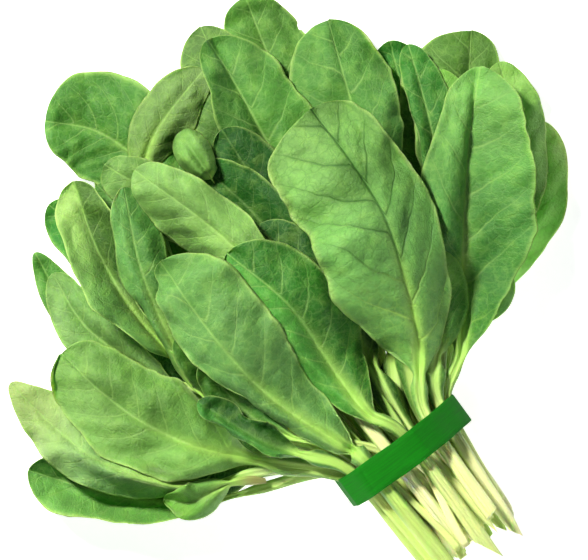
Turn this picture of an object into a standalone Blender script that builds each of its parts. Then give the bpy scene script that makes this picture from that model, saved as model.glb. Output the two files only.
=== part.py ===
"""A bunch of spinach lying on its side, held by one flat band.

Every leaf is one piece: a blade that runs down into its own stalk. The leaves are laid one after
the other, lowest first, and each comes to lie on those already there, as on a kitchen table.
"""

import math

import bpy
import numpy as np

# The bunch is drawn in millimetres: +X across it, +Y from the cut ends to the leaf tips, +Z up,
# with the middle of the band at X = Y = 0.
MM = 0.001
BAND_WIDTH = 14.0
BAND_THICKNESS = 1.0
BAND_CLEARANCE = 1.4  # between the band and the stalks it holds
BAND_SIDES = 26
BAND_CHAMFER = 0.35
STALK_END = -47.0  # where the stalks are cut, give or take CUT_SPREAD
CUT_SPREAD = 7.0
BLADE_THICKNESS = 0.8
MIDRIB_DEPTH = 1.7  # how far the midrib stands out under the blade at its base
MIDRIB_GROOVE = 0.45  # and how far it is sunk in the upper side
MIDRIB_HALF = 1.8  # its half width where it is thick
STALK_ROUND = 0.44  # depth of a stalk below its middle, as a share of its width
STALK_BACK = 0.62  # height of its upper side, as a share of that depth
STALK_CHANNEL = 0.50  # depth of the channel along its upper side, as a share of that depth
CHANNEL_HALF = 0.42  # half width of the channel, as a share of the stalk's half width
FOOT_SWELL = 1.12  # how much wider a stalk is at its foot than its stated width
NECK_THIN = 0.40  # and how much of that width it loses on the way to the blade
FLATTENS = 0.45  # how much of its fold a blade has lost at the tip
GAP = 0.5  # least height between a leaf and what it lies on
FOOT_HALF = 12.0  # half width of the band's flat underside
STALK_STATIONS = 6
TIED = 18.0  # the length of stalk that the band holds straight
BLADE_STATIONS = (0.0, 0.06, 0.15, 0.27, 0.40, 0.53, 0.66, 0.78, 0.88, 0.955)  # shares of its length
BLADE_PEAK = 0.52  # where a blade is widest, as a share of its length
WIDENS = (0.02, 0.14)  # the shares of the blade over which the stalk turns into it
BENDS_FROM = 0.2  # and the share by which its halves bend freely
CUT_DRAW = 0.84  # how the stalks draw together from the band to their cut ends
STIFFNESS = 8.0  # the length over which a leaf bridges what lies under it
GIVE = 0.9  # how far a blade bends across its width to follow what is under it
STEEPEST = 0.55  # the most a blade is tilted across its width by what is under it, as rise over run
STEP = 2.0  # the spacing at which a leaf feels what lies under it
BUNDLE_HALF = 26.5  # how far from the middle of the band the outermost stalks may lie
SLIP = 8.0  # how far a stalk may slip sideways to find a lower place
SLIP_COST = {"fine": 1.2, "plain": 0.3, "few": 0.3}  # and what each millimetre of it counts as height

# How far each row of points lies from the midrib, as a share of the half width.
ROWS = {
    "fine": ((0.0, 0.34, 0.62, 0.85, 1.0), (0.0, 0.09, 0.40, 0.73, 1.0)),
    "plain": ((0.0, 0.42, 0.78, 1.0), (0.0, 0.11, 0.56, 1.0)),
    "few": ((0.0, 0.62, 1.0), (0.0, 0.45, 1.0)),
}

# The height field on which the leaves are laid.
CELL = 0.8
FIELD_X = (-175.0, 175.0)
FIELD_Y = (-90.0, 250.0)
PATCH = 24  # samples along each side of a triangle

# Greens of the blades, from the lit young ones to the deep ones inside the bunch.
LIGHT = (0.30, 0.52, 0.12)
MID = (0.17, 0.40, 0.09)
DEEP = (0.07, 0.25, 0.05)
YELLOWISH = (0.42, 0.52, 0.14)
BAND_GREEN = (0.013, 0.22, 0.012)


def leaf(name, slot, way, blade, half, fold, curl=(0, 0), rows="few", stalk=4.8, colour=MID, **more):
    """One leaf of the table below.

    slot: X of the stalk at the band, or None for a loose leaf. way: points from there to the tip.
    blade: its length. half: widths left and right of the midrib. fold: degrees the halves rise at
    the midrib. curl: degrees they turn on from there to the edge. rows: how finely it is divided.
    stalk: the stalk's width. ruffle: the height of the waves along the edge. base and tip: the
    powers that shape the outline below and above its widest place (less is blunter).
    """
    row = dict(name=name, slot=slot, way=way, blade=blade, half=half, fold=fold, curl=curl)
    row.update(rows=rows, stalk=stalk, colour=colour, ruffle=1.2, base=1.0, tip=0.5)
    row.update(more)
    return row


# Lowest first.
LEAVES = [
    # The ones underneath.
    leaf("leaf_under_1", -18, [(-36, 44), (-74, 86), (-88, 116)], 82, (20, 19), (5, 5), (-10, -10)),
    leaf("leaf_under_2", -7, [(-12, 60), (-24, 120), (-30, 176)], 86, (21, 22), (5, 4), (-8, -10)),
    leaf("leaf_under_3", 9, [(16, 60), (34, 112), (48, 168)], 84, (22, 20), (5, 4), (-10, -8)),
    leaf("leaf_under_4", -22, [(-46, 28), (-88, 54), (-118, 84)], 98, (18, 19), (5, 5), (-8, -10),
         base=1.3),
    leaf("leaf_under_5", 2, [(3, 34), (6, 68), (4, 104)], 88, (19, 20), (5, 5), (-8, -8), base=1.3),
    leaf("leaf_left_tip", -14, [(-30, 70), (-48, 124), (-56, 156), (-61, 174)], 80, (16, 15), (5, 4)),
    leaf("leaf_top_speck", 2, [(4, 70), (8, 130), (8, 168), (9, 189)], 84, (18, 18), (5, 5)),
    leaf("leaf_back_sliver", 17, [(36, 42), (70, 84), (88, 118), (99, 144)], 80, (17, 16), (6, 4)),
    # The back of the bunch and its rim.
    leaf("leaf_back_broad", 23, [(48, 44), (84, 74), (104, 96), (130, 127)], 96, (31, 17),
         (4, 10), (-12, 6), "plain", colour=MID, base=0.8, tip=0.42),
    leaf("leaf_back_small", 12, [(38, 44), (74, 74), (92, 94), (108, 122)], 60, (13, 13), (5, 5)),
    leaf("leaf_top_far", 5, [(18, 44), (37, 104), (48, 150), (60, 196)], 92, (22, 21),
         (4, 5), (-10, -12), "plain", base=0.8, tip=0.45),
    leaf("leaf_top_edge", -1, [(10, 54), (20, 104), (27, 152), (37, 197)], 84, (19, 16), (6, 4),
         (-14, -8), "plain", colour=LIGHT),
    leaf("leaf_side_far", 26, [(54, 24), (93, 42), (116, 58), (131, 78)], 84, (14, 13),
         (10, 9), (-14, -8), "plain"),
    leaf("leaf_side_near", 20, [(50, 29), (97, 54), (121, 82), (131, 109)], 90, (14, 13),
         (9, 12), (-8, -12), "plain", colour=LIGHT),
    leaf("leaf_side_small", 27, [(47, 18), (67, 28), (81, 35)], 27, (7, 8), (16, 12),
         stalk=3.2, colour=LIGHT),
    leaf("leaf_far_round", -10, [(-14, 60), (-12, 116), (-18, 164), (-26, 188), (-41, 204)], 76,
         (21, 26), (8, 9), (-12, -16), "plain", base=0.7, tip=0.42),
    leaf("leaf_left_point", -19, [(-42, 54), (-70, 92), (-80, 134), (-78, 161)], 66, (9, 10), (18, 10),
         (-14, 8), "plain", tip=0.75),
    leaf("leaf_low_cup", -24, [(-48, 17), (-79, 30), (-101, 46), (-119, 65), (-135, 87)], 84,
         (13, 12), (34, 30), (24, 18), "plain", colour=MID),
    leaf("leaf_low_yellow", -22, [(-46, 24), (-80, 40), (-104, 67), (-115, 94), (-120, 122)], 96,
         (13, 15), (5, 8), (-14, -8), "plain", colour=YELLOWISH, tip=0.7),
    # The right-hand side.
    leaf("leaf_back_narrow", 22, [(36, 20), (62, 54), (84, 90), (95, 114), (104, 138)], 102, (11, 13),
         (12, -10), (6, -12), "plain", 6.4, colour=MID),
    leaf("leaf_right_big", 26, [(40, 15), (62, 42), (84, 70), (102, 91), (123, 112)], 124, (18, 32),
         (10, 22), (-12, -10), "fine", 6.6, colour=MID, tip=0.62, base=1.1, ruffle=1.8),
    leaf("leaf_top_centre", 16, [(30, 26), (45, 62), (60, 104), (71, 136), (83, 167)], 116, (28, 21),
         (-3, -8), (-12, -18), "fine", 7.4, colour=LIGHT, base=0.85, tip=0.42),
    leaf("leaf_folded_light", -12, [(-20, 60), (-24, 110), (-26, 142), (-20, 160), (-4, 172), (27, 181)],
         54, (13, 12), (-8, -6), (-10, -14), "plain", colour=LIGHT, base=0.8),
    leaf("leaf_top_left", 4, [(14, 46), (24, 92), (29, 130), (34, 166), (36, 190)], 114, (15, 23),
         (26, 5), (-6, -20), "fine", 6.4, colour=MID, tip=0.45),
    leaf("leaf_inner_mid_1", 8, [(15, 26), (28, 54), (38, 92)], 54, (14, 14), (6, 6), stalk=6.2),
    leaf("leaf_inner_mid_2", 13, [(21, 26), (36, 50), (48, 88)], 46, (13, 13), (6, 6), stalk=6.2,
         colour=LIGHT),
    leaf("leaf_inner_right", 21, [(31, 20), (46, 38), (60, 62)], 46, (11, 13), (8, -10),
         (0, -14), "plain", 6.0, colour=LIGHT),
    # The left-hand side, round the middle.
    leaf("leaf_inner_dark_1", 1, [(7, 50), (13, 92), (16, 126), (18, 155)], 60, (13, 14), (12, 8)),
    leaf("leaf_inner_dark_2", -3, [(0, 40), (7, 80), (8, 116), (2, 148)], 64, (14, 16), (10, 20),
         (0, 20), "plain", colour=DEEP),
    leaf("leaf_left_nib", -11, [(-22, 70), (-32, 124), (-36, 152), (-39, 168)], 44, (9, 9), (8, 8),
         colour=LIGHT),
    leaf("leaf_left_lobe", -14, [(-20, 60), (-17, 110), (-21, 146), (-31, 173)], 56, (13, 12), (-6, 6),
         (-20, 0), "plain", colour=LIGHT, tip=0.42),
    leaf("leaf_ball", -6, [(-4, 50), (0, 100), (2, 138), (3, 165)], 24, (10, 10), (-12, -12),
         (-58, -58), "plain", 4.0, colour=LIGHT, base=0.6, tip=0.42),
    leaf("leaf_left_fold", -21, [(-40, 38), (-62, 68), (-72, 98), (-79, 124), (-77, 149)], 80,
         (12, 12), (24, 26), (-12, 14), "plain", colour=LIGHT),
    leaf("leaf_left_cup", -18, [(-34, 38), (-52, 76), (-58, 112), (-55, 146), (-46, 175)], 88,
         (18, 17), (36, 32), (30, 24), "plain", colour=YELLOWISH, tip=0.45),
    leaf("leaf_low_loose", None, [(-55, 23), (-64, 30), (-75, 33), (-86, 35), (-95, 43)], 30, (8, 9),
         (10, 14), (-12, -10), stalk=3.6, colour=MID),
    leaf("leaf_left_narrow", -12, [(-26, 16), (-44, 34), (-56, 62), (-53, 92), (-45, 126), (-30, 160)],
         88, (10, 13), (-16, -18), (-12, -10), "plain", 6.0, colour=MID),
    leaf("leaf_low_big", -23, [(-40, 18), (-56, 36), (-74, 58), (-87, 86), (-94, 119)], 96, (21, 23),
         (-4, -6), (-14, -12), "fine", 7.0, colour=LIGHT, base=1.35, tip=0.42),
    leaf("leaf_mid_small_1", -14, [(-28, 28), (-44, 58), (-50, 95)], 56, (9, 10), (14, 8), (10, -16),
         "plain", 4.4, colour=DEEP),
    leaf("leaf_mid_small_2", -10, [(-24, 20), (-42, 46), (-48, 80)], 50, (10, 9), (8, 14), stalk=4.4),
    leaf("leaf_mid_small_3", -16, [(-30, 18), (-45, 38), (-58, 68)], 48, (6, 9), (8, 14), stalk=4.4,
         colour=DEEP),
    leaf("leaf_mid_dark", 5, [(9, 30), (12, 54), (10, 82), (6, 113)], 78, (16, 17), (5, -8), (0, -20),
         "plain", 7.0, colour=MID),
    leaf("leaf_left_bright", -5, [(-7, 26), (-8, 60), (-5, 92), (-10, 124), (-22, 163)], 90, (17, 13),
         (-8, 2), (-50, -12), "fine", 6.4, colour=LIGHT, base=0.8, tip=0.42),
    leaf("leaf_mid_right", -1, [(-3, 22), (-4, 46), (-3, 78), (-11, 111)], 92, (15, 21), (8, -4),
         (-8, -20), "fine", 7.8, colour=MID, tip=0.48),
    leaf("leaf_front_big", -16, [(-22, 24), (-32, 52), (-36, 84), (-36, 125)], 116, (14, 21), (-4, -6),
         (-14, -10), "fine", 9.6, colour=LIGHT, base=1.15, tip=0.38),
    leaf("leaf_centre_big", 10, [(17, 13), (32, 34), (45, 64), (53, 94), (54, 140)], 124, (35, 22),
         (-6, -12), (-14, -18), "fine", 7.6, colour=LIGHT, base=0.85, tip=0.36, ruffle=1.6),
]


def smooth(t):
    """Rises from 0 to 1 as t does, level at both ends."""
    t = np.clip(t, 0.0, 1.0)
    return t * t * (3.0 - 2.0 * t)


def through(points, count=240):
    """A smooth curve through the points (Catmull-Rom), evenly spaced, with its length."""
    knots = np.array(points, float)
    knots = np.vstack([2 * knots[0] - knots[1], knots, 2 * knots[-1] - knots[-2]])
    steps = np.linspace(0.0, 1.0, 24, endpoint=False)[:, None]
    pieces = []
    for a, b, c, d in zip(knots, knots[1:], knots[2:], knots[3:]):
        pull, bend, twist = c - a, 2 * a - 5 * b + 4 * c - d, 3 * b - a - 3 * c + d
        pieces.append(b + 0.5 * (steps * pull + steps**2 * bend + steps**3 * twist))
    curve = np.vstack(pieces + [knots[-2:-1]])
    run = np.r_[0.0, np.cumsum(np.linalg.norm(np.diff(curve, axis=0), axis=1))]
    even = np.linspace(0.0, run[-1], count)
    return even, np.column_stack([np.interp(even, run, curve[:, axis]) for axis in (0, 1)])


def spine(row, table, chance):
    """The leaf's way over the table, from the cut end of its stalk to its tip."""
    if row["slot"] is None:
        return through(row["way"])
    end = STALK_END + chance.uniform(-CUT_SPREAD, CUT_SPREAD)
    width, cost = row["stalk"], SLIP_COST[row["rows"]]
    edge = BAND_WIDTH / 2
    straight = BAND_WIDTH * 0.6  # the stalk runs straight a little past the band's edges
    wide = BUNDLE_HALF - width / 2
    slot = table.lowest_near(row["slot"], width, (-edge, edge), cost, wide)
    drawn = table.lowest_near(slot * CUT_DRAW, width, (end, end / 2), cost, wide * CUT_DRAW)
    return through([(drawn, end), (slot, -straight), (slot, straight)] + row["way"])


def outline(along, base, tip):
    """Half width of a blade at a share of its length, 1 at the widest place."""
    before = np.sin(math.pi / 2 * np.clip(along / BLADE_PEAK, 0.0, 1.0)) ** base
    past = np.clip((along - BLADE_PEAK) / (1.0 - BLADE_PEAK), 0.0, 1.0)
    return before * (1.0 - past**2) ** tip


def half_section(row, side, along, width):
    """Points of one half of a section: out from the midrib, up, and the depth of its underside."""
    in_stalk, in_blade = (np.array(shares) for shares in ROWS[row["rows"]])
    bladed = float(smooth((along + WIDENS[0]) / WIDENS[1]))
    share = in_stalk + (in_blade - in_stalk) * bladed
    # The blade: an arc that leaves the midrib at the fold angle and turns on by the curl.
    ease = 1.0 - FLATTENS * float(smooth(along))
    fine = np.linspace(0.0, 1.0, 25)
    step = 1.0 / (len(fine) - 1)
    slope = np.radians(row["fold"][side] * ease + row["curl"][side] * fine)
    out = np.r_[0.0, np.cumsum(np.cos(slope[1:]) + np.cos(slope[:-1]))] * step / 2.0
    up = np.r_[0.0, np.cumsum(np.sin(slope[1:]) + np.sin(slope[:-1]))] * step / 2.0
    blade_out = np.interp(share, fine, out) * width
    blade_up = np.interp(share, fine, up) * width * bladed
    rib = np.exp(-((share * width / MIDRIB_HALF) ** 2)) * (1.0 - along) * bladed
    depth = np.full(len(share), BLADE_THICKNESS)
    blade_under = depth + MIDRIB_DEPTH * rib
    # The stalk: round below, and a shallow channel above.
    thick = row["stalk"] * STALK_ROUND
    round_off = np.sqrt(np.maximum(0.0, 1.0 - share**2))
    channel = STALK_CHANNEL * np.exp(-((share / CHANNEL_HALF) ** 2))
    stalk_top = thick * (STALK_BACK * round_off - channel)
    stalk_under = thick * round_off + stalk_top
    top = stalk_top * (1.0 - bladed) - MIDRIB_GROOVE * rib
    under = stalk_under * (1.0 - bladed) + blade_under * bladed
    under[-1] = 0.0
    out_all = share * width * (1.0 - bladed) + blade_out * bladed
    return out_all, top, blade_up, under


class Leaf:
    """The leaf before it is laid. Each station is one loop of points: left edge, over the top to
    the right edge, and back below."""

    def __init__(self, row, table, chance):
        self.row = row
        self.run, self.way = spine(row, table, chance)
        self.length = self.run[-1]
        self.blade_start = self.length - row["blade"]
        self.phase = chance.uniform(0.0, math.tau, 2)
        self.wave = chance.uniform(24.0, 34.0)

    def own_stations(self):
        """Where the solid's loops are, along the leaf."""
        in_stalk = np.linspace(0.0, self.blade_start, STALK_STATIONS)[:-1]
        if self.row["slot"] is not None:
            # The band pinches the stalks, so there is a loop at each side of it.
            band = np.interp(0.0, self.way[:, 1], self.run)
            above = np.linspace(band + TIED / 2, self.blade_start, STALK_STATIONS - 2)[:-1]
            in_stalk = np.r_[0.0, band - TIED / 2, above]
        return np.r_[in_stalk, self.blade_start + self.row["blade"] * np.array(BLADE_STATIONS)]

    def at(self, s):
        return np.array([np.interp(s, self.run, self.way[:, axis]) for axis in (0, 1)])

    def station(self, s):
        """Places over the table, sheet heights and shape heights of one loop."""
        row = self.row
        along = (s - self.blade_start) / row["blade"]
        tangent = self.at(min(s + 2.0, self.length)) - self.at(max(s - 2.0, 0.0))
        tangent /= np.linalg.norm(tangent)
        left = np.array([-tangent[1], tangent[0]])
        taper = FOOT_SWELL - NECK_THIN * float(smooth(s / max(self.blade_start, 1.0)))
        stalk = row["stalk"] / 2 * taper * (1.0 - 0.6 * max(along, 0.0))
        halves = []
        for side, sign in ((0, 1.0), (1, -1.0)):
            spread = float(outline(along, row["base"], row["tip"]))
            width = stalk + (row["half"][side] - stalk * 0.5) * spread
            out, top, up, under = half_section(row, side, along, width)
            edge = np.clip(out / max(row["half"][side], 1.0), 0.0, 1.0) ** 2
            ripple = 1 + math.sin(math.tau * s / self.wave + self.phase[side])
            halves.append((sign * out, top, up + edge * row["ruffle"] * ripple, under))
        # The left half is read from the edge in, the right half from the rib out.
        out, top, up, under = (np.r_[a[::-1], b[1:]] for a, b in zip(*halves))
        up = up - up.min()
        # The underside is set in from the top along the surface's own slope.
        slope = np.gradient(up, out) if along > 0.1 else np.zeros(len(out))
        tilt = np.clip(slope, -1.0, 1.0)
        inner = slice(1, -1)
        below_out = (out + under * tilt / np.sqrt(1 + tilt**2))[inner][::-1]
        below = (top - under)[inner][::-1]
        places = self.at(s) + np.r_[out, below_out][:, None] * left
        return places, np.r_[top, below], np.r_[up, up[inner][::-1]]

    def stations(self, where):
        return (np.array(parts) for parts in zip(*(self.station(s) for s in where)))


def leaf_triangles(stations, loop):
    """Triangles of a leaf: point 0 is the cut end, then the loops, then the tip."""
    faces = []
    tip = stations * loop + 1
    for k in range(loop):
        after = (k + 1) % loop
        faces.append((0, 1 + after, 1 + k))
        faces.append((tip, tip - loop + k, tip - loop + after))
        for i in range(stations - 1):
            a, b = 1 + i * loop + k, 1 + i * loop + after
            c, d = a + loop, b + loop
            # Both sides split their quads the same way, or they would cross near the thin edge.
            faces += [(a, b, c), (b, d, c)] if k < loop // 2 else [(a, b, d), (a, d, c)]
    return np.array(faces)


class Table:
    """The height of what already lies on the table, on a grid."""

    def __init__(self):
        shape = [int((high - low) / CELL) for low, high in (FIELD_X, FIELD_Y)]
        self.height = np.full(shape, -GAP)
        middle = int(-FIELD_Y[0] / CELL)
        reach = int(BAND_WIDTH / 2 / CELL) + 2
        self.height[:, middle - reach:middle + reach] = BAND_THICKNESS + BAND_CLEARANCE - GAP
        shares = [(i / PATCH, j / PATCH) for i in range(PATCH + 1) for j in range(PATCH + 1 - i)]
        self.mix = np.array([(a, b, 1.0 - a - b) for a, b in shares])

    def cells(self, points):
        i = ((points[..., 0] - FIELD_X[0]) / CELL).astype(int)
        j = ((points[..., 1] - FIELD_Y[0]) / CELL).astype(int)
        return i, j

    def need(self, points, faces):
        """How far each point must rise for its triangles to clear everything below them."""
        samples = np.einsum("mk,fkx->fmx", self.mix, points[faces])
        i, j = self.cells(samples)
        over = (self.height[i, j] + GAP - samples[..., 2]).max(axis=1)
        need = np.full(len(points), -1e9)
        for corner in range(3):
            np.maximum.at(need, faces[:, corner], over)
        return need

    def lowest_near(self, x, width, rows, cost, wide):
        """The place near x, and within wide of the middle, where a stalk lies lowest."""
        first_row, last_row = (int((y - FIELD_Y[0]) / CELL) for y in rows)
        column = self.height[:, first_row:last_row].max(axis=1)
        best = (1e9, x)
        for shift in np.arange(-SLIP, SLIP + 0.1, 0.5):
            if abs(x + shift) > wide:
                continue
            first, last = (int((x + shift + side * width / 2 - FIELD_X[0]) / CELL) for side in (-1, 1))
            best = min(best, (column[first:last + 1].max() + cost * abs(shift), x + shift))
        return best[1]

    def clear(self, points, faces):
        samples = np.einsum("mk,fkx->fmx", self.mix, points[faces])
        i, j = self.cells(samples)
        return (samples[..., 2] - self.height[i, j] - GAP).min()

    def add(self, points, faces):
        """Raises the field to the leaf's height, a cell wider all round so that sides clear too."""
        samples = np.einsum("mk,fkx->fmx", self.mix, points[faces]).reshape(-1, 3)
        i, j = self.cells(samples)
        for across in (-1, 0, 1):
            for along in (-1, 0, 1):
                np.maximum.at(self.height, (i + across, j + along), samples[:, 2])
        return samples


def spread_max(values, reach, axis):
    """The highest value within reach along an axis."""
    out = values.copy()
    for step in range(1, reach + 1):
        ahead, behind = np.roll(values, -step, axis), np.roll(values, step, axis)
        index = np.arange(values.shape[axis])
        shape = [-1 if a == axis else 1 for a in range(values.ndim)]
        ahead = np.where((index < len(index) - step).reshape(shape), ahead, -1e9)
        behind = np.where((index >= step).reshape(shape), behind, -1e9)
        out = np.maximum(out, np.maximum(ahead, behind))
    return out


def blur(values, axis):
    """The mean of each value and its two neighbours, with the end values repeated."""
    first = np.take(values, [0], axis)
    last = np.take(values, [-1], axis)
    padded = np.concatenate([first, values, last], axis)
    count = values.shape[axis]
    parts = [np.take(padded, range(step, step + count), axis) for step in range(3)]
    return sum(parts) / 3.0


def no_steeper(lane, places):
    """Raises lanes until none lies more than STEEPEST times its distance below another."""
    apart = np.linalg.norm(places[:, :, None] - places[:, None, :], axis=3)
    return (lane[:, None, :] - STEEPEST * apart).max(axis=2)


def solid(places, heights, start, finish):
    """All points of a leaf: the cut end's middle, the loops, the tip."""
    body = np.concatenate([places, heights[..., None]], axis=2).reshape(-1, 3)
    return np.vstack([start, body, finish])


def lane_need(need, stations, loop):
    """What each lane of each station needs: the more of its upper and its lower point."""
    lanes = loop // 2 + 1
    body = need[1:-1].reshape(stations, loop)
    lane = body[:, :lanes].copy()
    lane[:, 1:-1] = np.maximum(lane[:, 1:-1], body[:, lanes:][:, ::-1])
    lane[0] = np.maximum(lane[0], need[0])
    lane[-1] = np.maximum(lane[-1], need[-1])
    return lane


def both_sides(lane):
    """Lane values for a whole loop, upper side and then lower side."""
    return np.concatenate([lane, lane[:, 1:-1][:, ::-1]], axis=1)


def lay(row, table, chance):
    """Lays a leaf on the table: its lift follows what is there, smoothed, and never less."""
    made = Leaf(row, table, chance)
    # The lift, felt at a fine spacing.
    felt = np.linspace(0.0, made.length * 0.995, int(made.length / STEP))
    places, sheets, _ = made.stations(felt)
    loop = sheets.shape[1]
    tip = [*made.way[-1], sheets[-1].mean()]
    cut = [*made.way[0], sheets[0].mean()]
    need = table.need(solid(places, sheets, cut, tip), leaf_triangles(len(felt), loop))
    lane = lane_need(need, len(felt), loop)
    rigid = np.repeat(lane.max(axis=1, keepdims=True), lane.shape[1], axis=1)
    give = GIVE * smooth((felt - made.blade_start) / (BENDS_FROM * row["blade"]))[:, None]
    bent = no_steeper(blur(spread_max(lane, 1, 1), 1), places[:, :lane.shape[1]])
    lift = give * bent + (1.0 - give) * rigid
    reach = int(STIFFNESS / STEP)
    lift = spread_max(lift, reach, 0)
    for _ in range(reach):
        lift = blur(lift, 0)
    # The solid itself, on that lift.
    own = made.own_stations()
    places, sheets, shapes = made.stations(own)
    lane = np.column_stack([np.interp(own, felt, column) for column in lift.T])
    heights = sheets + shapes + both_sides(lane)
    faces = leaf_triangles(len(own), loop)
    back = (made.way[0] - made.at(3.0)) / np.linalg.norm(made.way[0] - made.at(3.0))
    start = np.r_[made.way[0] - 0.5 * back, heights[0].mean()]
    finish = np.r_[made.way[-1], heights[-1].mean()]
    points = solid(places, heights, start, finish)
    # Between loops the solid is straight, so what still touches there is lifted clear.
    more = lane_need(np.maximum(table.need(points, faces), 0.0), len(own), loop)
    more = np.where((own < made.blade_start)[:, None], more.max(axis=1, keepdims=True), more)
    more = blur(spread_max(more, 1, 1), 1)
    heights += both_sides(more)
    start[2] += more[0].max()
    finish[2] += more[-1].max()
    points = solid(places, heights, start, finish)
    points[:, 2] -= max(0.0, table.clear(points, faces))
    return points, faces, table.add(points, faces)


def held_hull(samples):
    """What the band goes round: every sample of the stalks within its width, in X and Z."""
    inside = samples[np.abs(samples[:, 1]) < BAND_WIDTH / 2 + 1.0]
    floor = BAND_THICKNESS + BAND_CLEARANCE
    foot = [(-FOOT_HALF, 0.0, floor), (FOOT_HALF, 0.0, floor)]
    return np.vstack([inside, foot])[:, [0, 2]]


def ring_round(points, offset):
    """A closed loop with BAND_SIDES sides, each side one offset away from the points."""
    angles = -math.pi / 2 + math.tau * np.arange(BAND_SIDES) / BAND_SIDES
    ways = np.column_stack([np.cos(angles), np.sin(angles)])
    reach = (points @ ways.T).max(axis=0) + offset
    corners = []
    for k in range(BAND_SIDES):
        after = (k + 1) % BAND_SIDES
        corners.append(np.linalg.solve(ways[[k, after]], reach[[k, after]]))
    return np.array(corners)


def band_mesh(samples):
    """The band: a flat strip closed round the stalks, with its edges eased."""
    held = held_hull(samples)
    edge = BAND_WIDTH / 2
    outer = BAND_CLEARANCE + BAND_THICKNESS
    profile = [
        (-edge, BAND_CLEARANCE),
        (-edge, outer - BAND_CHAMFER),
        (-edge + BAND_CHAMFER, outer),
        (edge - BAND_CHAMFER, outer),
        (edge, outer - BAND_CHAMFER),
        (edge, BAND_CLEARANCE),
    ]
    points, faces = [], []
    for y, offset in profile:
        points += [(x, y, z) for x, z in ring_round(held, offset)]
    count = len(profile)
    for p in range(count):
        for k in range(BAND_SIDES):
            after = (k + 1) % BAND_SIDES
            a, b = p * BAND_SIDES + k, p * BAND_SIDES + after
            c = (p + 1) % count * BAND_SIDES + k
            d = (p + 1) % count * BAND_SIDES + after
            faces.append((a, c, d, b))
    return np.array(points), faces


def material(name, colour, roughness):
    made = bpy.data.materials.new(name)
    made.use_nodes = True
    shader = made.node_tree.nodes["Principled BSDF"]
    shader.inputs["Base Color"].default_value = (*colour, 1.0)
    shader.inputs["Roughness"].default_value = roughness
    shader.inputs["Metallic"].default_value = 0.0
    return made


def add_object(name, points, faces, colour, roughness, smooth_faces):
    mesh = bpy.data.meshes.new(name)
    mesh.from_pydata((points * MM).tolist(), [], [tuple(int(i) for i in face) for face in faces])
    mesh.materials.append(material(name + "_surface", colour, roughness))
    if smooth_faces:
        mesh.shade_smooth()
    ob = bpy.data.objects.new(name, mesh)
    bpy.context.collection.objects.link(ob)
    return ob


def main():
    for ob in list(bpy.data.objects):
        bpy.data.objects.remove(ob, do_unlink=True)
    table = Table()
    solids, samples = [], []
    for number, row in enumerate(LEAVES):
        chance = np.random.default_rng(100 + number)
        points, faces, laid = lay(row, table, chance)
        solids.append((row, points, faces))
        samples.append(laid[np.abs(laid[:, 1]) < BAND_WIDTH])
    band_points, band_faces = band_mesh(np.vstack(samples))
    # The origin is under the middle of the whole bunch, on the table.
    everything = np.vstack([points for _, points, _ in solids] + [band_points])
    low, high = everything.min(axis=0), everything.max(axis=0)
    origin = np.array([(low[0] + high[0]) / 2, (low[1] + high[1]) / 2, low[2]])
    for row, points, faces in solids:
        add_object(row["name"], points - origin, faces, row["colour"], 0.45, True)
    add_object("band", band_points - origin, band_faces, BAND_GREEN, 0.6, False)


main()
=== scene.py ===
# %% [markdown]
# # A bunch of spinach
#
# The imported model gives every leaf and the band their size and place. This lesson keeps those and
# makes what the eye looks for: thin wavy blades with sunken veins, pale ribbed stalks, a satin skin.
# Everything is in metres in the scene and in millimetres in the sums, because a leaf is easier to
# think about in millimetres.

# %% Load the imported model
import math
from functools import partial

import bpy
import numpy as np
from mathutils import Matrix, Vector


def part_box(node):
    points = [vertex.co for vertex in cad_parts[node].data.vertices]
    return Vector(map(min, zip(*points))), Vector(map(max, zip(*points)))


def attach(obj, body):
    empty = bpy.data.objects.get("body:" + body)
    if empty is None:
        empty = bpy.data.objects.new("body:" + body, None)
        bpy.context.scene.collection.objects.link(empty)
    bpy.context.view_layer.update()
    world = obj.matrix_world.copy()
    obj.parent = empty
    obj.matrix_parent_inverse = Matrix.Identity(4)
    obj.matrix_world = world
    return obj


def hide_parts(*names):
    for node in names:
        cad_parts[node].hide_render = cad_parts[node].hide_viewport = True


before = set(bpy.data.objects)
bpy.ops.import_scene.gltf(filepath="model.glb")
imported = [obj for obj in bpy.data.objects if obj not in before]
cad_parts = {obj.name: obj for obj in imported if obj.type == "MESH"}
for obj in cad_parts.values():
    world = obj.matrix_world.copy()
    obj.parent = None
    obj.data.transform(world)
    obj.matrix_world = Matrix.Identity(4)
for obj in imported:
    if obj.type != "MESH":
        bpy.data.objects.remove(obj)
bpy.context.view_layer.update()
MM = 0.001
print("nodes:", len(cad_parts))

# %% [markdown]
# Colours are written as sRGB hex values, as a colour picker shows them. The shader wants linear
# light, so one function turns the one into the other.


# %% Colours
def linear(colour):
    """An sRGB hex value such as "7bb34a" as three linear numbers."""
    shares = np.array([int(colour[k:k + 2], 16) / 255 for k in (0, 2, 4)])
    return np.where(shares <= 0.04045, shares / 12.92, ((shares + 0.055) / 1.055) ** 2.4)


print("mid green in linear light:", linear("5f9e3c").round(3))

# %% [markdown]
# A shader is a tree of nodes. One small function adds a node with its settings and links, so that
# each line of a material says one thing that it does.


# %% Adding objects, materials and nodes
def add_object(name, data):
    """A new object in the scene, with a mesh, a lamp or a camera as its data."""
    made = bpy.data.objects.new(name, data)
    bpy.context.collection.objects.link(made)
    return made


def new_material(name):
    """A new material, its node tree and its shader."""
    made = bpy.data.materials.new(name)
    made.use_nodes = True
    return made, made.node_tree, made.node_tree.nodes["Principled BSDF"]


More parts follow.
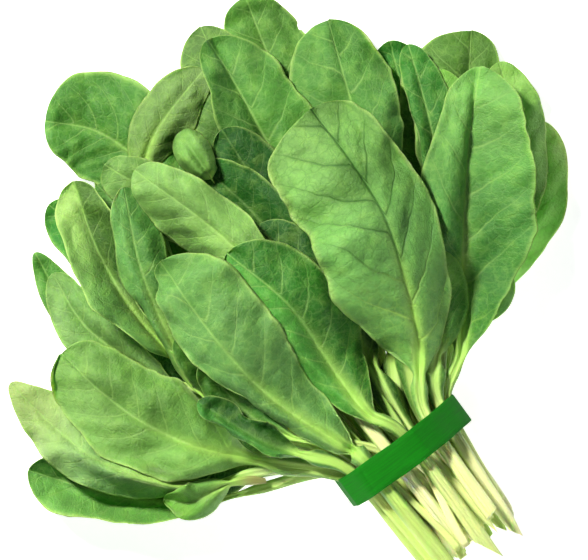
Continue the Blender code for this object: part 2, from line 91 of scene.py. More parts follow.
def add_node(tree, kind, settings=None, **links):
    """A new node of a kind, with its properties set and its inputs set or linked.

    An input goes by its name, or by its place as _0, _1 and so on. A node given as a value stands
    for its first output.
    """
    made = tree.nodes.new("ShaderNode" + kind)
    for key, value in (settings or {}).items():
        setattr(made, key, value)
    for key, value in links.items():
        socket = made.inputs[int(key[1:])] if key[0] == "_" else made.inputs[key.replace("_", " ")]
        if isinstance(value, bpy.types.Node):
            value = value.outputs[0]
        if isinstance(value, bpy.types.NodeSocket):
            tree.links.new(value, socket)
        else:
            socket.default_value = value
    return made


print("kinds of shader node:", sum(kind.startswith("ShaderNode") for kind in dir(bpy.types)))

# %% [markdown]
# ## The studio
#
# The floor is a sheet of white acrylic with a little light from below, as catalogue studios use it to
# be rid of shadows. Acrylic scatters light inside, so it shows the eye an even white without grain.

# %% Floor
FLOOR_HALF = 3.0
FLOOR_DROP = 0.0005  # how far it lies below the lowest leaf
mesh = bpy.data.meshes.new("floor")
corners = [(x * FLOOR_HALF, y * FLOOR_HALF, -FLOOR_DROP) for x, y in ((-1, -1), (1, -1), (1, 1), (-1, 1))]
mesh.from_pydata(corners, [], [(0, 1, 2, 3)])
acrylic, _, shader = new_material("white acrylic light table")
shader.inputs["Base Color"].default_value = (*linear("fafafa"), 1.0)
shader.inputs["Roughness"].default_value = 0.7
shader.inputs["Emission Color"].default_value = (1.0, 1.0, 1.0, 1.0)
shader.inputs["Emission Strength"].default_value = 0.8
mesh.materials.append(acrylic)
floor = add_object("floor", mesh)
print("floor:", 2 * FLOOR_HALF, "m square")

# %% [markdown]
# A soft key lamp high on the left gives each leaf a lit and a shaded side. A wide weak lamp on the
# other side fills the shade, and a small weak one reaches the cut ends, which the key passes by.

# %% Lamps
ACROSS = np.array([0.806, -0.591, 0.0])  # the view's right, in the row's axes
UPWARD = np.array([0.591, 0.806, 0.0])  # and its up
HEART = (0.0, 0.02, 0.02)  # the middle of the leaves
CUT_ENDS = (0.0, -0.05, 0.01)
# Each lamp: its place to the right, up the view and above in m, size in m, power in W, colour, what
# it is aimed at, and how wide it spreads in degrees.
LAMPS = {
    "soft_key": ((-0.748, 0.726, 1.045), 0.26, 36.0, "fffaf0", HEART, 180.0),
    "soft_fill": ((0.88, -0.77, 0.99), 0.9, 2.6, "f4f8ff", HEART, 180.0),
    "stalk_lamp": ((0.25, -0.8, 0.55), 0.12, 0.022, "fffcf4", CUT_ENDS, 10.0),
}
for name, ((right, up, above), size, power, colour, target, spread) in LAMPS.items():
    lamp = bpy.data.lights.new(name, "AREA")
    lamp.shape = "DISK"
    lamp.size = size
    lamp.energy = power
    lamp.color = linear(colour)
    lamp.spread = math.radians(spread)
    thing = add_object(name, lamp)
    thing.location = Vector(right * ACROSS + up * UPWARD) + Vector((0.0, 0.0, above))
    thing.rotation_euler = (Vector(target) - thing.location).to_track_quat("-Z", "Y").to_euler()
    print(name, "at", [round(v, 2) for v in thing.location])

# %% [markdown]
# The surround is pale near the horizon, where it lights the sides of the leaves, and dim overhead,
# where it would wash out their relief.

# %% Surround
HORIZON, OVERHEAD = (0.02, 0.72), (0.38, 0.05)  # height on a sphere of 1 round the bunch, and strength there
world = bpy.data.worlds.new("studio, pale all round and dim overhead")
world.use_nodes = True
sky = world.node_tree
background = sky.nodes["Background"]
background.inputs["Color"].default_value = (*linear("f6f9ff"), 1.0)
height = add_node(sky, "SeparateXYZ", Vector=add_node(sky, "TexCoord").outputs["Generated"]).outputs["Z"]
limits = dict(_1=HORIZON[0], _2=OVERHEAD[0], _3=HORIZON[1], _4=OVERHEAD[1])
sky.links.new(add_node(sky, "MapRange", _0=height, **limits).outputs[0], background.inputs["Strength"])
bpy.context.scene.world = world
print("surround:", world.name)

# %% [markdown]
# The camera looks straight down from far off, as for a catalogue, so the bunch is hardly distorted.

# %% Camera
VIEW_MIDDLE = np.array([5.5, 85.5]) * MM  # from the middle of the band to the middle of the view
VIEW_WIDTH = 0.247
VIEW_HEIGHT = 0.04  # the view is that wide at this height, among the upper leaves
CAMERA_HEIGHT = 1.6
SENSOR = 36.0
camera = add_object("camera", bpy.data.cameras.new("camera"))
camera.data.sensor_width = SENSOR
camera.data.lens = SENSOR * (CAMERA_HEIGHT - VIEW_HEIGHT) / VIEW_WIDTH
camera.data.clip_end = 20.0
camera.rotation_euler = (0.0, 0.0, math.atan2(ACROSS[1], ACROSS[0]))
band_middle = sum(np.array(corner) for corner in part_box("band")) / 2
camera.location = (*(band_middle[:2] + VIEW_MIDDLE), CAMERA_HEIGHT)
bpy.context.scene.camera = camera
bpy.context.scene.view_settings.view_transform = "Standard"
print("camera at", [round(v, 4) for v in camera.location], "lens", round(camera.data.lens, 1))

# %% [markdown]
# ## Reading a leaf
#
# Each packed leaf is a tube of rings: a middle point at the cut end, then fifteen rings of 8, 12 or
# 16 points, then the tip. A fine leaf could be drawn freehand over it, but then it would drift away
# from its place in the heap. Reading the rings back and running smooth curves through them keeps
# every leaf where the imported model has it.

# %% Points of a packed leaf
RINGS = 15
STALK_RINGS = 5  # the first rings are on the stalk, the rest on the blade


def joined_points(mesh):
    """A mesh's points in mm, each once, and for each the points that it shares an edge with."""
    every = np.array([v.co for v in mesh.vertices]) / MM
    _, first, same = np.unique(np.round(every, 3), axis=0, return_index=True, return_inverse=True)
    same = same.ravel()
    near = [set() for _ in first]
    for face in mesh.polygons:
        corners = [int(same[v]) for v in face.vertices]
        for a, b in zip(corners, corners[1:] + corners[:1]):
            near[a].add(b)
            near[b].add(a)
    return every[first], near


def ring_from(level, edge, near, half, points):
    """The points of one ring, once round from its left edge, the upper side first."""
    walks = []
    for start in sorted(near[edge] & level):
        walk = [edge, start]
        while len(walk) < 2 * half:
            walk.append(next(v for v in near[walk[-1]] & level if v not in walk[-2:]))
        walks.append(walk)
    return points[max(walks, key=lambda walk: points[walk[1:half], 2].mean())]


packed_points, _ = joined_points(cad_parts["leaf_centre_big"].data)
print("leaf_centre_big:", len(packed_points), "points in the packed model")

# %% [markdown]
# From the cut end the rings are found one after the other: each is what lies one edge further on.
# A ring is read from its left edge, which has fewer links to the next ring than its other points.

# %% Rings of a packed leaf
def read_rings(node):
    """Upper lanes and lower lanes of a leaf's rings in mm, edge to edge, and its two end points."""
    points, near = joined_points(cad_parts[node].data)
    half = (len(points) - 2) // RINGS // 2
    ends = [v for v in range(len(points)) if len(near[v]) > 7]
    # The cut end's middle lies hard by its ring, the tip well beyond its own.
    ends.sort(key=lambda v: np.linalg.norm(points[sorted(near[v])].mean(axis=0) - points[v]))
    levels, seen = [{ends[0]}], {ends[0]}
    while len(levels) < RINGS + 2:
        beyond = {n for v in levels[-1] for n in near[v]} - seen
        seen |= beyond
        levels.append(beyond)
    rings = []
    for k in range(1, RINGS + 1):
        # The left edge is the one point with a single link forward or, on the last ring, three back.
        other, links = (levels[k + 1], 1) if k < RINGS else (levels[k - 1], 3)
        edge = next(v for v in sorted(levels[k]) if len(near[v] & other) == links)
        rings.append(ring_from(levels[k], edge, near, half, points))
    rings = np.array(rings)
    left, right = rings[:, :1], rings[:, half:half + 1]
    return rings[:, :half + 1], np.concatenate([left, rings[:, :half:-1], right], axis=1), *points[ends]


upper, _, cut, tip = read_rings("leaf_centre_big")
print("of them", upper.shape[1], "lie across the upper side of each ring")
print("from cut end to tip:", round(float(np.linalg.norm(tip - cut))), "mm")

# %% [markdown]
# ## Smooth curves and soft noise
#
# Two small tools do most of the shaping: a smooth curve through known values, and a field of soft
# random hills for all that grows unevenly.

# %% Curves and noise
TABLE = 32  # hills along each side of a table of hills, after which they repeat


def glide(knots, values, at):
    """A smooth curve through values at rising knots (cubic, with slopes from the neighbours)."""
    knots = np.asarray(knots, float)
    values = np.asarray(values, float)
    slopes = np.gradient(values, knots, axis=0)
    k = np.clip(np.searchsorted(knots, at, side="right") - 1, 0, len(knots) - 2)
    gap = knots[k + 1] - knots[k]
    t = (np.asarray(at) - knots[k]) / gap
    spread = (...,) + (None,) * (values.ndim - 1)
    t, gap = t[spread], gap[spread]
    a, b = values[k], values[k + 1]
    p, q = slopes[k] * gap, slopes[k + 1] * gap
    return a + p * t + (3 * (b - a) - 2 * p - q) * t**2 + (2 * (a - b) + p + q) * t**3


def smooth(t):
    """Rises from 0 to 1 as t does, level at both ends."""
    t = np.clip(t, 0.0, 1.0)
    return t * t * (3.0 - 2.0 * t)


def hills(x, y, size, chance):
    """Soft random hills of that size, with heights of about -1 to 1."""
    table = chance.uniform(-1.0, 1.0, (TABLE, TABLE))
    x, y = x / size + 7.3, y / size + 11.9
    i, j = np.floor(x).astype(int), np.floor(y).astype(int)
    s, t = smooth(x - i), smooth(y - j)
    i, j, beside, beyond = i % TABLE, j % TABLE, (i + 1) % TABLE, (j + 1) % TABLE
    low = table[i, j] * (1 - s) + table[beside, j] * s
    high = table[i, beyond] * (1 - s) + table[beside, beyond] * s
    return 1.5 * (low * (1 - t) + high * t)


print("halfway between 1 and 3, on the way to 4:", glide((0, 1, 2), (1.0, 3.0, 4.0), np.array([0.5])))

# %% [markdown]
# ## The table of leaves
#
# One entry for each leaf, lowest first, with what sets it apart: its colours, how strongly its veins
# show, how it waves, curls and swells, and where its margin is bitten or bulges. The first table says
# what each setting means and what it is on most leaves.

# %% What sets a leaf apart
DEFAULTS = dict(
    skin="5f9e3c",  # the blade's own green
    tip="6cab40",  # its colour towards the tip
    rim=0.5,  # how much paler the margin is
    vein="a3cf72",  # the large veins
    show=0.45,  # how strongly they show in colour
    sink=0.5,  # how deep they lie, in mm
    puff=1.0,  # how far the skin swells between them, in mm
    crease=0.5,  # how deep its soft random creases are, in mm
    wave=2.4,  # how far the blade rolls, in mm
    frill=1.8,  # how far its margin waves, in mm
    curl=0.0,  # how far its margin curls up, or down if below zero, in mm (or left and right)
    uneven=0.07,  # how unevenly its margin runs in and out, as a share of its half width
    bites=(),  # where it is narrower, or wider if below zero: (how far along, side, depth, length)
    wing=0.3,  # how much its stalk broadens up to the blade, as a share
    dome=1.6,  # how far each half swells between the midrib and the margin, in mm (or left and right)
    halves=(1.0, 1.0),  # painted light and shade: how much lighter or darker its left and right halves are painted
    foot=None,  # colour of the stalk's foot, or one of the usual ones
    grid=1.0,  # spacing of the mesh on the blade, in mm
    laterals=6,  # side veins on each side
)
LEFT, RIGHT = -1.0, 1.0


def leaf(name, **own):
    """A leaf's name with all its settings, of which only those of its own are given."""
    return name, {**DEFAULTS, **own}


# A leaf that hides under the others is painted dark, as painted shade for the gaps where it shows, and gets a
# coarser grid.
HIDDEN_IN_SHADE = dict(grid=2.2, skin="1d4d15", tip="235a1a", wing=2.5, foot="bcd976")
print("settings of a leaf:", ", ".join(DEFAULTS))

# %% [markdown]
# The order matters, because each leaf is laid on those before it. The leaves inside the bunch need
# few settings and the large ones on top need most, because the eye rests on them.

# %% The leaves, lowest first
# Where a leaf's two halves are set to differ in lightness, that is painted light and shade.
LEAVES = [
    *(leaf(f"leaf_under_{k}", **HIDDEN_IN_SHADE) for k in (1, 2, 3, 4, 5)),
    leaf("leaf_left_tip", skin="2c6f26", tip="357f2b", grid=1.4),
    leaf("leaf_top_speck", skin="58943a", grid=1.6),
    leaf("leaf_back_sliver", skin="2e7027", tip="31772a", grid=1.6),
    leaf("leaf_back_broad", skin="437328", tip="4d782e", grid=1.2),
    leaf("leaf_back_small", skin="4f7d38", grid=1.6),
    leaf("leaf_top_far", skin="497f2d", tip="508333"),
    leaf("leaf_top_edge", skin="497331", tip="517835"),
    # Its light skin is painted light: it makes up for the shade that the leaf beside it casts there.
    leaf("leaf_side_far", skin="aced77", tip="c4df90", grid=1.2),
    leaf("leaf_side_near", skin="7bb453", tip="8dbd60", grid=1.2),
    leaf("leaf_side_small", skin="5a9a3e", grid=1.2),
    leaf("leaf_far_round", skin="407b2a", tip="488132", puff=1.6, dome=2.2, crease=1.1, wave=3.4),
    leaf("leaf_left_point", skin="498333", tip="4d8a37", grid=1.2),
    leaf("leaf_low_cup", skin="58913f", tip="649e4b", curl=6.0, halves=(1.15, 0.6), dome=-4.0, rim=0.8,
         bites=((0.88, LEFT, -0.5, 0.14), (0.84, RIGHT, -0.6, 0.18))),
    leaf("leaf_low_yellow", skin="6e9f5d", tip="9bb16c", halves=(0.95, 1.05), curl=-2.0),
    leaf("leaf_back_narrow", skin="357627", tip="377d2a", bites=((0.62, LEFT, 0.45, 0.28),)),
    leaf("leaf_right_big", skin="418034", tip="6aa34f", rim=0.4, dome=(5.0, -1.0), curl=(-1.0, 5.0),
         wave=1.6, bites=((0.93, LEFT, -0.2, 0.08), (0.93, RIGHT, -0.2, 0.08))),
    leaf("leaf_top_centre", skin="40782c", tip="4b8435", curl=-2.0, bites=((0.38, RIGHT, 0.35, 0.22),)),
    leaf("leaf_folded_light", skin="5e8341", tip="698d4b", curl=-3.0),
    leaf("leaf_top_left", skin="45812f", tip="4c8734", halves=(0.75, 1.08), curl=(3.0, -2.0)),
    # The inner leaves show only in gaps between the upper ones; their dark skins are painted shade.
    leaf("leaf_inner_mid_1", skin="194911", grid=1.6, wing=2.5),
    leaf("leaf_inner_mid_2", skin="2c661f", grid=1.6, wing=2.5),
    leaf("leaf_inner_right", skin="3a7528", grid=1.2, wing=2.0),
    leaf("leaf_inner_dark_1", skin="154a11", tip="195513", grid=1.2, show=0.2),
    leaf("leaf_inner_dark_2", skin="1e5819", tip="26651e", grid=1.2, show=0.2),
    leaf("leaf_left_nib", skin="53893d", tip="589041", grid=1.2),
    leaf("leaf_left_lobe", skin="59803c", tip="5c873f", grid=1.2),
    leaf("leaf_ball", skin="659444", tip="659444", grid=0.8, wave=0.3, frill=0.2, uneven=0.0, dome=3.6,
         curl=-2.0, show=0.0, sink=0.0, puff=0.3, crease=0.2),
    leaf("leaf_left_fold", skin="6a964f", tip="709e54", halves=(1.1, 0.9), curl=-2.0),
    leaf("leaf_left_cup", skin="5d8f45", tip="85aa5a", curl=(4.0, 6.0), dome=(3.5, -2.0), halves=(1.2, 0.3),
         rim=0.7, bites=((0.3, RIGHT, 0.7, 0.25),)),
    leaf("leaf_low_loose", skin="649c44", grid=1.2, foot="9a9a60",
         bites=((0.92, LEFT, 0.3, 0.1), (0.92, RIGHT, 0.3, 0.1))),
    leaf("leaf_left_narrow", skin="548b43", tip="599347", halves=(1.1, 0.7), curl=-3.0,
         bites=((0.32, LEFT, 0.5, 0.2),)),
    leaf("leaf_low_big", skin="6da14a", tip="75a452", wing=1.2, foot="bcd976", puff=1.3,
         halves=(1.06, 0.8), curl=(0.0, -5.0)),
    leaf("leaf_mid_small_1", skin="3a7a2b", frill=3.0, curl=2.0, show=0.2, wave=4.0, crease=1.3, puff=1.6,
         halves=(0.35, 1.0)),
    leaf("leaf_mid_small_2", skin="3f7f30", frill=4.0, show=0.2, wave=4.0, crease=1.3, puff=1.6,
         halves=(0.25, 1.0)),
    leaf("leaf_mid_small_3", skin="3a7a2e", tip="3f8032", halves=(1.1, 0.4), frill=4.5, wing=1.5, show=0.1,
         wave=4.0, crease=1.5, puff=1.8, dome=(3.0, -1.5),
         bites=((0.7, LEFT, 0.45, 0.14), (0.4, LEFT, 0.5, 0.12), (0.55, RIGHT, 0.5, 0.14))),
    leaf("leaf_mid_dark", skin="1d5419", tip="1f591a", wing=2.0),
    leaf("leaf_left_bright", skin="699748", tip="719f51", uneven=0.05, curl=-2.5, puff=1.2, wave=1.8),
    leaf("leaf_mid_right", skin="458f33", tip="489636", halves=(1.05, 0.5), curl=-4.0),
    leaf("leaf_front_big", skin="598e46", tip="5c9146", wing=1.4, foot="bcd976", curl=-2.5, puff=1.2,
         bites=((0.94, LEFT, 0.3, 0.04), (0.80, LEFT, 0.1, 0.06), (0.32, LEFT, 0.5, 0.26),
                (0.84, RIGHT, -0.3, 0.14), (0.55, RIGHT, -0.12, 0.2))),
    # Its veins are painted dark, as painted shade in their sunken grooves.
    leaf("leaf_centre_big", skin="659e4d", tip="6fa04f", vein="316422", show=1.0, sink=1.0, puff=1.5,
         uneven=0.05, halves=(1.05, 0.88), wing=0.8, curl=(-2.5, -4.5), dome=(2.0, 1.0), wave=1.6,
         bites=((0.93, LEFT, -0.22, 0.08), (0.92, RIGHT, -0.12, 0.08), (0.25, RIGHT, -0.12, 0.08))),
]
print("leaves:", len(LEAVES))

# %% [markdown]
# ## A fine grid over each leaf
#
# Rows run across the leaf and columns along it, with the midrib as the middle column. A stalk gets a
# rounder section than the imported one, with the channel along its upper side that spinach stalks have.

# %% Section of a stalk
CHANNEL_DEEP, CHANNEL_HALF = 0.26, 0.40  # its channel, as shares of its depth and half width
RIB_HIGH = 0.02  # its fine ribs, as a share of its depth
CROWDING = 1.15  # how much a blade's columns crowd towards its edges: 1 is not at all


def stalk_section(u):
    """Height of a stalk's upper and lower side for u from edge to edge, in shares of its depth."""
    round_off = np.sqrt(np.maximum(0.0, 1.0 - u**2)) * (1.0 + RIB_HIGH * np.cos(5.0 * math.pi * u))
    return round_off - CHANNEL_DEEP * np.exp(-((u / CHANNEL_HALF) ** 2)), -round_off


def columns(count, bladed):
    """Places across the leaf: crowded towards the edges on a stalk, nearly even on a blade."""
    t = np.linspace(-1.0, 1.0, count)
    even = np.sign(t) * (1.0 - (1.0 - np.abs(t)) ** CROWDING)
    return even * bladed + np.sin(t * math.pi / 2) * (1.0 - bladed)


print("depth of a stalk under its channel:", round(float(np.subtract(*stalk_section(np.zeros(1)))[0]), 2))

# %% [markdown]
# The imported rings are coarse, with at most nine points across the upper side. A stalk's ring is drawn
# anew from its width and depth, and a blade's is a smooth curve through its own points.

# %% One ring of a stalk or a blade
SLIM_FOOT, SLIM_NECK = 0.95, 0.92  # width of a stalk at its foot and neck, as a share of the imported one
USUAL_HALF, SLIMMING = 2.7, 0.45  # half width of most packed stalks in mm, and how far others near it
STALK_DEPTH = 1.08  # how deep a stalk is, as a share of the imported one


def stalk_ring(k, upper, lower, middle, wing, u):
    """A stalk's upper and lower side round its middle at a ring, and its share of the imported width."""
    across = upper[k, -1] - upper[k, 0]
    width = np.linalg.norm(across) / 2
    across = across / (2 * width)
    ahead = middle[k + 1] - middle[max(k - 1, 0)]
    rise = np.cross(across, ahead / np.linalg.norm(ahead))
    rise *= np.sign(rise[2]) / np.linalg.norm(rise)
    rib = upper.shape[1] // 2
    rise *= STALK_DEPTH * np.linalg.norm(upper[k, rib] - lower[k, rib])
    slim = SLIM_FOOT + (SLIM_NECK - SLIM_FOOT) * k / (STALK_RINGS - 1)
    share = slim * (USUAL_HALF / width) ** SLIMMING * (1.0 + wing * (k / STALK_RINGS) ** 2)
    sides = (upper[k, 0] + upper[k, -1]) / 2 - middle[k] + u[:, None] * width * share * across
    high, low = stalk_section(u)
    return sides + high[:, None] * rise, sides + low[:, None] * rise, share


def blade_ring(k, upper, lower, middle, steps, u):
    """A blade's upper and lower side round its midrib at a ring."""
    rib = upper.shape[1] // 2
    left, right = steps[k, :rib][::-1], steps[k, rib:]
    places = np.r_[-np.cumsum(left)[::-1] / left.sum(), 0.0, np.cumsum(right) / right.sum()]
    return [glide(places, surface[k] - middle[k], u) for surface in (upper, lower)]


print("a stalk of the usual width is drawn", SLIM_FOOT, "to", SLIM_NECK, "times as wide as packed")

# %% [markdown]
# No stalk is cut quite like the next, and no margin is an even curve. Both are changed on the fine
# grid, where the change can be as small as it really is.

# %% Cut ends and margins
CUT_REACH = 3.5  # how far up the stalk its cut end is thinned, in mm
THINNED = 0.55  # by which share at most
SLANT, LONGER, SHORTER = 1.6, 2.5, 2.0  # its steepest slant, and how much its length may differ, in mm
MARGIN_RUNS = ((14.0, 1.0), (4.5, 0.2))  # lengths in mm of a margin's runs in and out, and their strength


def scaled_rows(surface, line, share):
    """A surface with each row scaled about the leaf's middle line."""
    return line[:, None] + (surface - line[:, None]) * share


def cut_end(sheet, line, chance):
    """Thins the cut end a little and cuts it on the slant."""
    fade = np.exp(-((sheet.rows / CUT_REACH) ** 2))[:, None, None]
    thin = 1.0 - chance.uniform(0.0, THINNED) * fade
    back = line[0] - line[5]
    back /= np.linalg.norm(back)
    slant = chance.uniform(-SLANT, SLANT) * sheet.u * sheet.width[:, None] + chance.uniform(-SHORTER, LONGER)
    cut = fade * slant[..., None] * back
    sheet.top = scaled_rows(sheet.top, line, thin) + cut
    sheet.base = scaled_rows(sheet.base, line, thin) + cut


def uneven_margin(sheet, line, look, chance):
    """Moves the margin in and out unevenly and returns by what share at each point."""
    share = np.ones_like(sheet.u)
    begun = smooth((sheet.along - 0.02) / 0.15)
    for side in (LEFT, RIGHT):
        runs = sum(strong * hills(sheet.rows, 0.0 * sheet.rows, long, chance) for long, strong in MARGIN_RUNS)
        run = look["uneven"] * runs
        for at, where, depth, long in look["bites"]:
            run -= depth * (where == side) * np.exp(-(((sheet.along - at) / long) ** 2))
        share += (run * begun)[:, None] * np.maximum(sheet.u * side, 0.0)
    sheet.top = scaled_rows(sheet.top, line, share[..., None])
    sheet.base = scaled_rows(sheet.base, line, share[..., None])
    return share


print("margins run in and out every", " and ".join(f"{long} mm" for long, _ in MARGIN_RUNS))

# %% [markdown]
# The rings are now joined along the leaf. Its width is carried as its square, which falls to nothing
# at the tip like a parabola, so tips come out round.

# %% The sheet of a leaf
BLADE_BEGINS, BLADE_FULL = STALK_RINGS - 1, STALK_RINGS + 2  # rings over which a stalk turns into a blade
STALK_STEP = 3.0  # spacing of the rows on a stalk, in mm
CUT_ROWS = (0.0, 0.4, 1.2, 2.4, 4.0)  # and of the closer ones at its cut end
TIP_FROM, TIP_ROWS = 0.95, 8  # the tip's rows crowd together from this share of the blade


def straightened(upper, lower):
    """Both surfaces with the stalk's bends evened out, and the middle line."""
    middle = upper[:, upper.shape[1] // 2]
    evened = middle.copy()
    for _ in range(2):
        part = evened[:STALK_RINGS + 1]
        evened[1:STALK_RINGS] = (part[:-2] + 2 * part[1:-1] + part[2:]) / 4
    return upper + (evened - middle)[:, None], lower + (evened - middle)[:, None], evened


def row_places(blade_from, length, step):
    """Where the rows lie along the leaf: sparse on the stalk, even on the blade, crowded at the tip."""
    body = np.arange(blade_from, blade_from + TIP_FROM * (length - blade_from), step)
    last = 1.0 - (1.0 - np.linspace(0.0, 1.0, TIP_ROWS + 1)[1:]) ** 2
    closing = body[-1] + (length - body[-1]) * last
    closing[-1] = length - 0.02
    return np.r_[CUT_ROWS, np.arange(6.0, blade_from, STALK_STEP), body, closing]


class Sheet:
    """The smooth leaf: both surfaces on a grid, and where each of its points lies, in mm.

    u runs from -1 at the left edge to 1 at the right, x is the distance from the midrib, y and along
    are the distance from the blade's foot, in mm and as a share of the blade.
    """

    def __init__(self, name, look, chance):
        upper, lower, _, tip = read_rings(name)
        upper, lower, middle = straightened(upper, lower)
        run = np.r_[0.0, np.cumsum(np.linalg.norm(np.diff(np.vstack([middle, tip]), axis=0), axis=1))]
        steps = np.linalg.norm(np.diff(upper, axis=1), axis=2)
        half = steps.sum(axis=1) / 2
        count = int(max(9, half.max() / look["grid"])) * 2 + 1
        above, below, shares = [], [], np.ones(RINGS + 1)
        for k in range(RINGS):
            u = columns(count, float(smooth((k - BLADE_BEGINS) / (BLADE_FULL - BLADE_BEGINS))))
            if k < STALK_RINGS:
                high, low, shares[k] = stalk_ring(k, upper, lower, middle, look["wing"], u)
            else:
                high, low = blade_ring(k, upper, lower, middle, steps, u)
            above.append(high / half[k])
            below.append(low / half[k])
        blade_from, length = run[STALK_RINGS], run[-1]
        knots = np.r_[run[:RINGS], length]
        self.rows = row_places(blade_from, length, look["grid"])
        self.width = np.sqrt(np.maximum(glide(knots, np.r_[half**2, 0.0], self.rows), 1e-4))
        bladed = smooth((self.rows - knots[BLADE_BEGINS]) / (knots[BLADE_FULL] - knots[BLADE_BEGINS]))
        self.u = np.array([columns(count, share) for share in bladed])
        line = glide(knots, np.vstack([middle, tip]), self.rows)
        wide = self.width[:, None, None]
        self.top = line[:, None] + glide(knots, np.array(above + above[-1:]), self.rows) * wide
        self.base = line[:, None] + glide(knots, np.array(below + below[-1:]), self.rows) * wide
        self.blade_from, self.blade = blade_from, length - blade_from
        self.along = (self.rows - blade_from) / self.blade
        cut_end(self, line, chance)
        self.x = self.u * (self.width * glide(knots, shares, self.rows))[:, None]
        self.x *= uneven_margin(self, line, look, chance)
        self.y = np.repeat((self.rows - blade_from)[:, None], count, axis=1)
        self.look, self.chance = look, chance


def normals_of(surface):
    """Unit normals of a grid of points, pointing up and out."""
    ahead = np.gradient(surface, axis=0)
    aside = np.gradient(surface, axis=1)
    normal = np.cross(aside, ahead)
    return normal / np.maximum(np.linalg.norm(normal, axis=2, keepdims=True), 1e-9)


# One leaf is made here only to measure the next steps on.
sample = Sheet(*LEAVES[-1], np.random.default_rng(0))
print(LEAVES[-1][0], "has a grid of", sample.u.shape, "points")

# %% [markdown]
# ## Veins
#
# Side veins leave the midrib at a slant and curve on towards the margin. Rather than draw each one,
# every point of the blade gets the number of the side vein it would lie on: 2.0 is on the second
# vein and 2.5 is halfway to the third. That number changes smoothly, so it can be stored on a
# coarse mesh and the skin's material can still draw a crisp line wherever it is whole.

# %% Numbering the side veins
CLIMB, BEND = 0.75, 0.6  # how steeply a side vein climbs from the midrib, and how much more further out
VEINED = 0.9  # the share of the blade that has side veins
BY_TURNS = 0.25  # the veins of the two sides leave the midrib by turns
VEIN_STRAY = (20.0, 0.09)  # they stray over such a length in mm, by such a part of their spacing


def vein_number(sheet):
    """The number of the side vein on which each point of a leaf would lie."""
    out = np.abs(sheet.x)
    climb = CLIMB * (out + BEND * out**2 / sheet.width.max()) / sheet.blade
    number = sheet.look["laterals"] * (sheet.along[:, None] - climb) / VEINED
    length, part = VEIN_STRAY
    return number + BY_TURNS * np.sign(sheet.u) + part * hills(sheet.x, sheet.y, length, sheet.chance)


print("vein numbers of the sample run to", round(float(vein_number(sample).max()), 1))

# %% [markdown]
# ## Relief
#
# A fresh blade isn't flat. It sinks along its veins, swells between them, rolls gently along its
# length and waves at the margin. All of it moves the mesh itself, so that it shows from every side.

# %% Relief of a blade
ROLL, FRILL, CREASE, DIMPLE = 22.0, 9.0, 11.0, 5.0  # lengths of rolls, margin waves, creases and dimples, mm
DIMPLE_HIGH = 0.25  # height of a dimple, in mm
SWELLED = 3.0  # how far from a vein the skin has swelled, in mm
GROOVE_HALF = 1.5  # half width of the groove over the midrib, in mm
CREASE_WIDE = 0.12  # how wide a crease is, as a share of its hill


def by_side(value, sheet):
    """A setting that may differ between the left and the right half of a leaf."""
    left, right = value if isinstance(value, tuple) else (value, value)
    return left + (right - left) * smooth(sheet.x / 4.0 + 0.5)


def relief_out(sheet, number):
    """How far each point moves out of the blade, in mm: swelling, midrib groove, dimples and creases."""
    look, chance = sheet.look, sheet.chance
    to_tip = 1.0 - sheet.along[:, None]
    ending = smooth(to_tip / 0.08)
    from_vein = np.abs(number - np.round(number)) * 0.66 * sheet.blade / look["laterals"]
    swell = 1.0 - np.exp(-((from_vein / SWELLED) ** 2))
    swell *= smooth((number + 0.2) / 0.6) * (1.0 - 0.6 * np.abs(sheet.u))
    off_rib = 1.0 - np.exp(-((sheet.x / SWELLED) ** 2))
    move = look["puff"] * swell * off_rib * ending
    move -= look["sink"] * np.exp(-((sheet.x / GROOVE_HALF) ** 2)) * np.clip(to_tip, 0.2, 1.0)
    move += DIMPLE_HIGH * hills(sheet.x, sheet.y, DIMPLE, chance) * off_rib
    valley = np.abs(hills(sheet.x, sheet.y, CREASE, chance))
    return move - look["crease"] * np.exp(-valley / CREASE_WIDE) * off_rib * ending


def relief_up(sheet):
    """How far each point moves straight up, in mm: domed sides, curled margin, rolls and frill."""
    look, chance = sheet.look, sheet.chance
    u = np.abs(sheet.u)
    to_tip = 1.0 - sheet.along[:, None]
    rimward = u + (1.0 - u) * smooth((0.28 - to_tip) / 0.28)  # the tip's margin runs across the midrib
    rise = by_side(look["dome"], sheet) * np.sin(math.pi * np.minimum(u * 1.25, 1.6)) * smooth(to_tip / 0.3)
    rise += by_side(look["curl"], sheet) * smooth((rimward - 0.3) / 0.7)
    rise += look["wave"] * hills(sheet.x, sheet.y, ROLL, chance) * smooth(np.abs(sheet.x) / 12.0)
    frill = hills(sheet.x * 0.3, sheet.y, FRILL, chance)
    return rise + look["frill"] * frill * smooth((rimward - 0.55) / 0.45)


print("the sample's rolls and curls span", round(float(np.ptp(relief_up(sample))), 1), "mm")

# %% [markdown]
# ## Laying the leaves again
#
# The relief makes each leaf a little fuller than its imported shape, so it could poke through its
# neighbour. A map of the heap's height, one cell for each square millimetre, is kept while the
# leaves are made from the lowest up, and each new leaf is eased up wherever it would dip into it.

# %% Height map of the heap
CELL = 1.0
SPREAD = 170  # cells from the middle of the map to its edge
ROOM = 0.12  # clear height left between two leaves, in mm
heap = np.full((2 * SPREAD, 2 * SPREAD), -1.0)


def cells(points):
    """The map's cell below each point."""
    return tuple(np.clip((points[..., k] / CELL + SPREAD).astype(int), 0, 2 * SPREAD - 1) for k in (0, 1))


def soften(values, times):
    """Evens out a grid of values along both its directions."""
    for _ in range(times):
        for axis in (0, 1):
            ends = [(1, 1) if k == axis else (0, 0) for k in range(values.ndim)]
            padded = np.moveaxis(np.pad(values, ends, mode="edge"), axis, 0)
            values = np.moveaxis(padded[:-2] + padded[1:-1] + padded[2:], 0, axis) / 3.0
    return values


